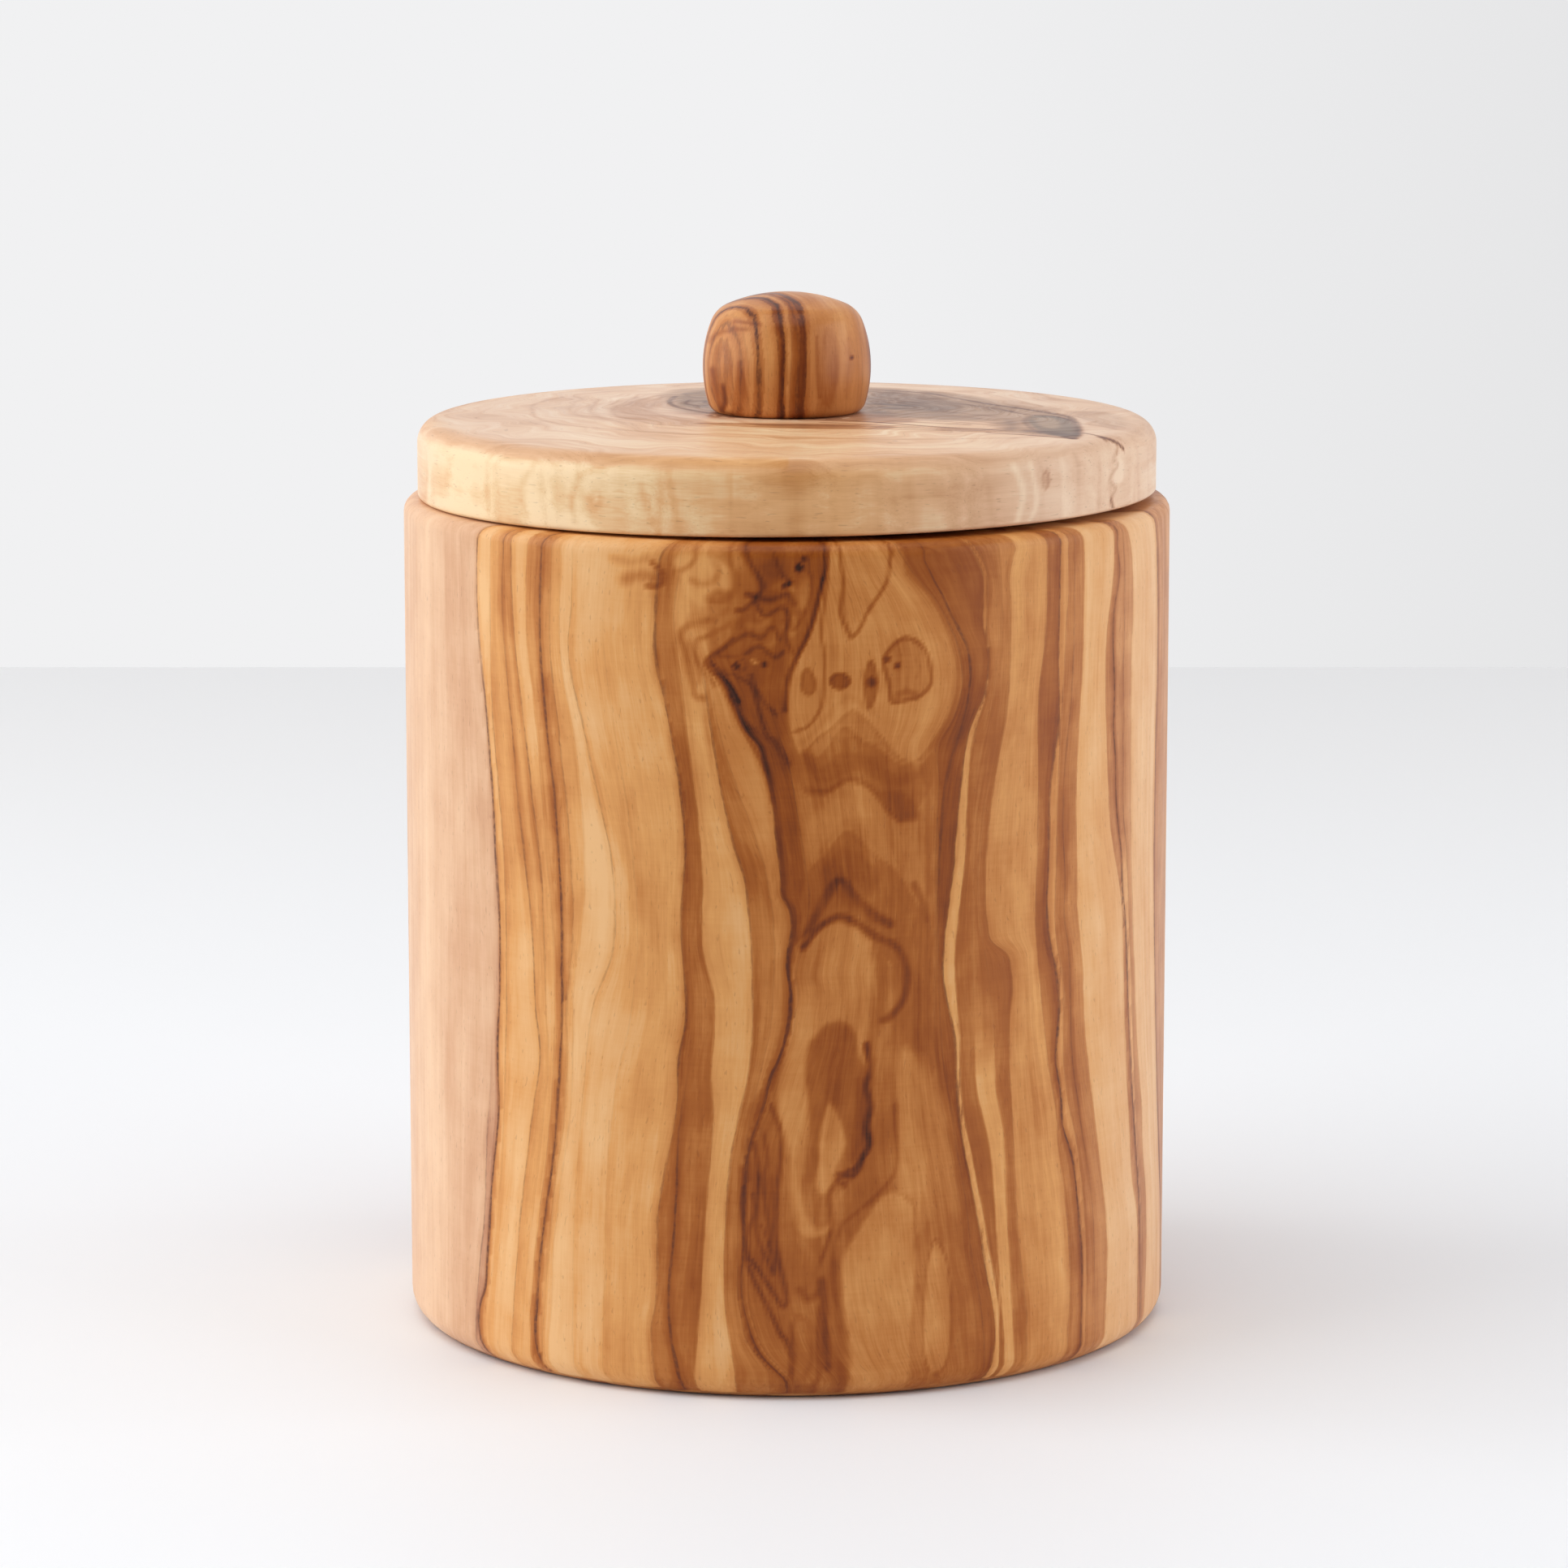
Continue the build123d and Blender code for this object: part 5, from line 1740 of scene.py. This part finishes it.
@dataclass
class Knob:
    """The bead knob: a bowed side and a low crown, rounded into each other and into a flat foot.

    Attributes:
        base: height of its foot above the table, in mm.
        radius, height, belly: its widest radius, its height and the height of the widest place.
        foot_inset, shoulder_inset, crown_rise: how far it draws in.
        foot_round, shoulder_round: its edges.
        hole_radius, hole_top: the hole for the dowel.
        pith: where the pith that its growth rings go round lies, as x and y.
        wood: its finish.
    """

    base: float = 107.4
    radius: float = 9.86
    height: float = 14.05
    belly: float = 5.4
    foot_inset: float = 1.0
    shoulder_inset: float = 1.6
    crown_rise: float = 2.0
    foot_round: float = 1.5
    shoulder_round: float = 3.5
    hole_radius: float = 3.03
    hole_top: float = 114.9
    pith: tuple[float, float] = (-12.7, -10.5)
    wood: OliveWood = field(
        default_factory=lambda: OliveWood(
            "olive wood, turned and oiled, knob", streak=(0.6, 7.0, 16.0), mottle=0.7, roughness=0.34
        )
    )

    def turning(self) -> Turning:
        """The knob's outline, from the top of the dowel's hole round by its foot to its crown.

        The side is an arc below the belly and one above it, both upright at the belly, and the
        crown is an arc that is level at the axis. Each round is an arc that touches both of its
        neighbours, so its centre lies where their circles, made smaller by its radius, cross.
        """
        inset, up = self.foot_inset, self.belly
        low = (inset**2 + up**2) / (2 * inset)
        inset, up = self.shoulder_inset, self.height - self.crown_rise - self.belly
        high = (inset**2 + up**2) / (2 * inset)
        span = self.radius - self.shoulder_inset
        top = (span**2 + self.crown_rise**2) / (2 * self.crown_rise)
        side = np.array([self.radius - high, self.belly])
        head = np.array([0.0, self.height - top])
        a, b = high - self.shoulder_round, top - self.shoulder_round
        apart = np.linalg.norm(side - head)
        reach = (b**2 - a**2 + apart**2) / (2 * apart)
        toward = (side - head) / apart
        centre = head + reach * toward + math.sqrt(b**2 - reach**2) * np.array([toward[1], -toward[0]])
        from_side = math.degrees(math.atan2(*(centre - side)[::-1]))
        from_head = math.degrees(math.atan2(*(centre - head)[::-1]))
        low_centre = (self.radius - low, self.belly)
        drop = self.belly - self.foot_round
        foot_x = low_centre[0] + math.sqrt((low - self.foot_round) ** 2 - drop**2)
        from_low = math.degrees(math.atan2(-drop, foot_x - low_centre[0]))
        hole = self.hole_top - self.base
        outline = np.vstack([
            straight((0, hole), (self.hole_radius, hole), 1.6),
            [(self.hole_radius, hole - 0.05), (self.hole_radius, 0.05)],
            straight((self.hole_radius + 0.05, 0), (foot_x, 0), 1.2),
            arc((foot_x, self.foot_round), self.foot_round, -90, from_low, 8),
            arc(low_centre, low, from_low, 0, 14),
            arc(tuple(side), high, 0, from_side, 14),
            arc(tuple(centre), self.shoulder_round, from_side, from_head, 20),
            arc(tuple(head), top, from_head, 90, 30),
            [(0, self.height)],
        ])
        angle = np.linspace(-math.pi, math.pi, 320, endpoint=False)
        return Turning(outline[:, 0], outline[:, 1] + self.base, angle)

    def figure(self, places: np.ndarray) -> Figure:
        """Lay growth rings about an upright pith that lies outside the knob, in front at its left.

        On the side they show as upright lines, and over the crown as arcs that bend to the left.
        """
        x, y = places[..., 0] - self.pith[0], places[..., 1] - self.pith[1]
        z = places[..., 2] - self.base
        reach = np.hypot(x, y) + 0.16 * waver(places * np.array([1, 1, 0.6]), 7, 31)
        rings, before, after, ink = np.transpose(KNOB_RINGS)
        band = ring_bands(reach, rings, before=before, after=after, ink=ink)
        grain = np.stack([reach, 14 * np.arctan2(x, y), z], -1)
        made = Figure(**band, grain=grain, blush=np.full_like(x, 0.12), ashen=np.zeros_like(x))
        made.draw(KNOB_MARKS, np.where(places[..., 1] < -1, places[..., 0], FAR_OFF), z)
        return made

    def build(self) -> bpy.types.Object:
        """Build the knob, dress it and hang it on its body."""
        turning = self.turning()
        places = turning.places()
        piece = turning.mesh("knob_wood", places, self.figure(places))
        return hang(piece, self.wood, Body.LID, "knob")


@dataclass(frozen=True)
class BeechDowel:
    """The bare beech of the fluted dowel: pale pinkish tan with short brown flecks.

    Attributes:
        body: colour of the wood.
        fleck: colour of its rays.
        roughness: the wood is dry and matt.
    """

    body: str = "D2A982"
    fleck: str = "A87850"
    roughness: float = 0.7

    def dress(self) -> bpy.types.Object:
        """Give the dowel's CAD node its wood."""
        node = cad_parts["knob_dowel"]
        material = blank("beech, bare, dowel")
        tree = material.node_tree
        place = add_node(tree, "ShaderNodeTexCoord").outputs["Object"]
        # Rays are about 0.3 mm wide and 2 mm long, and run along the dowel.
        scale = (1 / (0.3 * MM), 1 / (0.3 * MM), 1 / (2.0 * MM))
        mapped = add_node(tree, "ShaderNodeMapping", {"Vector": place, "Scale": scale}).outputs[0]
        noise = add_node(tree, "ShaderNodeTexNoise", {"Vector": mapped, "Scale": 1.0, "Detail": 2.0})
        rays = noise.outputs["Fac"]
        stops = ((0.35, self.body), (0.72, self.fleck))
        colour = add_node(tree, "ShaderNodeValToRGB", {0: rays}, stops)
        relief = {"Strength": 0.3, "Distance": 0.04 * MM, "Height": rays}
        bump = add_node(tree, "ShaderNodeBump", relief)
        shader = add_node(
            tree,
            "ShaderNodeBsdfPrincipled",
            {"Base Color": colour.outputs[0], "Roughness": self.roughness, "Normal": bump.outputs[0]},
        )
        add_node(tree, "ShaderNodeOutputMaterial", {"Surface": shader.outputs[0]})
        node.data.materials.clear()
        node.data.materials.append(material)
        return node


@dataclass(frozen=True)
class SoftBox:
    """A square soft light.

    Attributes:
        name: its name.
        place: where it hangs, in metres.
        aim: the point that it is turned to, in metres.
        size: its side in metres.
        power: its power in watts.
    """

    name: str
    place: tuple[float, float, float]
    aim: tuple[float, float, float]
    size: float
    power: float

    def build(self) -> None:
        """Hang the light and turn it to its aim."""
        lamp = bpy.data.lights.new(self.name, "AREA")
        lamp.size = self.size
        lamp.energy = self.power
        box = bpy.data.objects.new(self.name, lamp)
        x, y, z = np.subtract(self.aim, self.place)
        box.location = self.place
        box.rotation_euler = (math.atan2(math.hypot(x, y), -z), 0.0, math.atan2(-x, y))
        bpy.context.scene.collection.objects.link(box)


@dataclass
class Studio:
    """A plain pale table, a glowing backdrop painted brighter at the left as painted light, soft lights and
    the camera at the photograph's place.

    Attributes:
        camera: place of the camera, in mm.
        pitch: how far it looks down, in degrees.
        lens: focal length on a 36 mm sensor.
        table: half the side of the square table top, in mm.
        paper: colour of the table in front and at the back; the front is painted lighter and bluer, as
            painted light.
        distance: radius of the backdrop, in mm.
        rows, columns: the grid of the backdrop.
        backdrop: colour of the backdrop at the left and at the right of the photograph; it is painted
            light, brighter on the side of the key.
        lights: the soft boxes.
        air: strength of the even white light from all round.
    """

    camera: tuple[float, float, float] = (-0.33, -683.9, 181.75)
    pitch: float = 9.85
    lens: float = 134.26
    table: float = 503.0
    # The table's front tint is lighter and bluer than its back one: painted light.
    paper: tuple[str, str] = ("F0F2F5", "F0F0F1")
    distance: float = 3000.0
    rows: int = 25
    columns: int = 48
    # The backdrop is brighter at the left than at the right: painted light.
    backdrop: tuple[str, str] = ("F1F1F2", "E6E6E7")
    lights: tuple[SoftBox, ...] = (
        SoftBox("key", (-0.85, -0.2, 0.5), (0.0, 0.0, 0.06), 1.0, 7.8),
        SoftBox("fill", (0.95, -0.25, 0.35), (0.0, 0.0, 0.06), 0.9, 5.6),
        SoftBox("top", (0.0, -0.35, 1.2), (0.0, -0.1, 0.0), 1.1, 6.0),
    )
    air: float = 0.1

    def shade(
        self, tree: bpy.types.NodeTree, axis: str, reach: tuple[float, float], tints: tuple[str, str]
    ) -> bpy.types.NodeSocket:
        """A colour that runs from one tint to another along an axis, over a reach in mm."""
        place = add_node(tree, "ShaderNodeTexCoord").outputs["Object"]
        way = add_node(tree, "ShaderNodeSeparateXYZ", {0: place}).outputs[axis]
        span = {0: way, 1: reach[0] * MM, 2: reach[1] * MM}
        share = add_node(tree, "ShaderNodeMapRange", span).outputs[0]
        tint = {0: share, 6: linear(tints[0]), 7: linear(tints[1])}
        return add_node(tree, "ShaderNodeMix", tint, data_type="RGBA").outputs[2]

    def set_up(
        self, name: str, finish: bpy.types.Material, points: np.ndarray, faces: Sequence[Sequence[int]]
    ) -> bpy.types.Object:
        """Make a smooth object of the stage, from points in mm."""
        mesh = bpy.data.meshes.new(name)
        mesh.from_pydata((points * MM).tolist(), [], faces)
        mesh.shade_smooth()
        mesh.materials.append(finish)
        item = bpy.data.objects.new(name, mesh)
        bpy.context.scene.collection.objects.link(item)
        return item

    def table_top(self) -> None:
        """A square top of matt white paper, painted a shade lighter and bluer in front than at the back:
        painted light on the near table.
        """
        side = self.table
        corners = np.array([(-side, -side, 0.0), (side, -side, 0.0), (side, side, 0.0), (-side, side, 0.0)])
        finish = blank("white paper, matt, painted light in front")
        tree = finish.node_tree
        # The paper runs from the front tint to the back one over 50 to 400 mm of Y: painted light.
        colour = self.shade(tree, "Y", (50.0, 400.0), self.paper)
        shader = add_node(tree, "ShaderNodeBsdfPrincipled", {"Base Color": colour, "Roughness": 0.6})
        add_node(tree, "ShaderNodeOutputMaterial", {"Surface": shader.outputs[0]})
        self.set_up("table_top", finish, corners, [(0, 1, 2, 3)])

    def cloth_round(self) -> None:
        """A glowing backdrop all round, painted brighter at the left than at the right as painted light: a
        sphere in two parts.

        The point at row i and column j is (R cos b sin a, -R cos b cos a, R sin b), with the
        radius R, the angle a of the column and the angle b of the row above the level. The rows
        stop just short of the poles. The part behind the table, up to 60 degrees, lights it as a
        lit wall would. Only the camera sees the rest, so it casts no light.
        """
        finish = blank("lit cloth, painted brighter at left")
        tree = finish.node_tree
        # The glow runs from the left colour to the right one over 0 to 500 mm of X: painted light, brighter
        # on the key's side.
        colour = self.shade(tree, "X", (0.0, 500.0), self.backdrop)
        glow = add_node(tree, "ShaderNodeEmission", {"Color": colour, "Strength": 1.0})
        add_node(tree, "ShaderNodeOutputMaterial", {"Surface": glow.outputs[0]})
        a = np.linspace(0, 2 * np.pi, self.columns, endpoint=False)[None, :]
        b = np.linspace(-0.499 * np.pi, 0.499 * np.pi, self.rows)[:, None]
        grid = np.stack([np.cos(b) * np.sin(a), -np.cos(b) * np.cos(a), np.sin(b) + 0 * a], -1)
        points = grid.reshape(-1, 3) * self.distance
        index = np.arange(self.rows * self.columns).reshape(self.rows, self.columns)
        right = np.roll(index, -1, 1)
        faces = np.stack([index[:-1], index[1:], right[1:], right[:-1]], -1)
        row, column = np.indices(faces.shape[:2])
        behind = (column >= self.columns // 4) & (column < 3 * self.columns // 4)
        behind &= row < 5 * self.rows // 6
        for name, chosen in (("backdrop_behind", behind), ("backdrop_round", ~behind)):
            item = self.set_up(name, finish, points, faces[chosen].tolist())
            item.visible_diffuse = name == "backdrop_behind"
            item.visible_glossy = name == "backdrop_behind"
            item.visible_shadow = False

    def build(self) -> None:
        """Set up the table, the backdrop, the lights, the world and the camera."""
        self.table_top()
        self.cloth_round()
        for box in self.lights:
            box.build()
        scene = bpy.context.scene
        world = bpy.data.worlds.new("studio")
        world.use_nodes = True
        tree = world.node_tree
        tree.nodes.clear()
        air = add_node(tree, "ShaderNodeBackground", {"Color": linear("FFFFFF"), "Strength": self.air})
        add_node(tree, "ShaderNodeOutputWorld", {"Surface": air.outputs[0]})
        scene.world = world
        scene.view_settings.view_transform = "Standard"
        lens = bpy.data.cameras.new("camera")
        lens.lens = self.lens
        lens.sensor_width = 36.0
        camera = bpy.data.objects.new("camera", lens)
        camera.location = [v * MM for v in self.camera]
        camera.rotation_euler = (math.radians(90 - self.pitch), 0.0, 0.0)
        scene.collection.objects.link(camera)
        scene.camera = camera


def main() -> None:
    """Build the pieces in order and report each one."""
    logging.basicConfig(level=logging.INFO, format="%(message)s")
    Studio().build()
    for part in (Jar(), Lid(), Knob()):
        piece = part.build()
        log.info("%s: %d faces", piece.name, len(piece.data.polygons))
    dowel = BeechDowel().dress()
    log.info("%s: dressed", dowel.name)


if __name__ == "__main__":
    main()
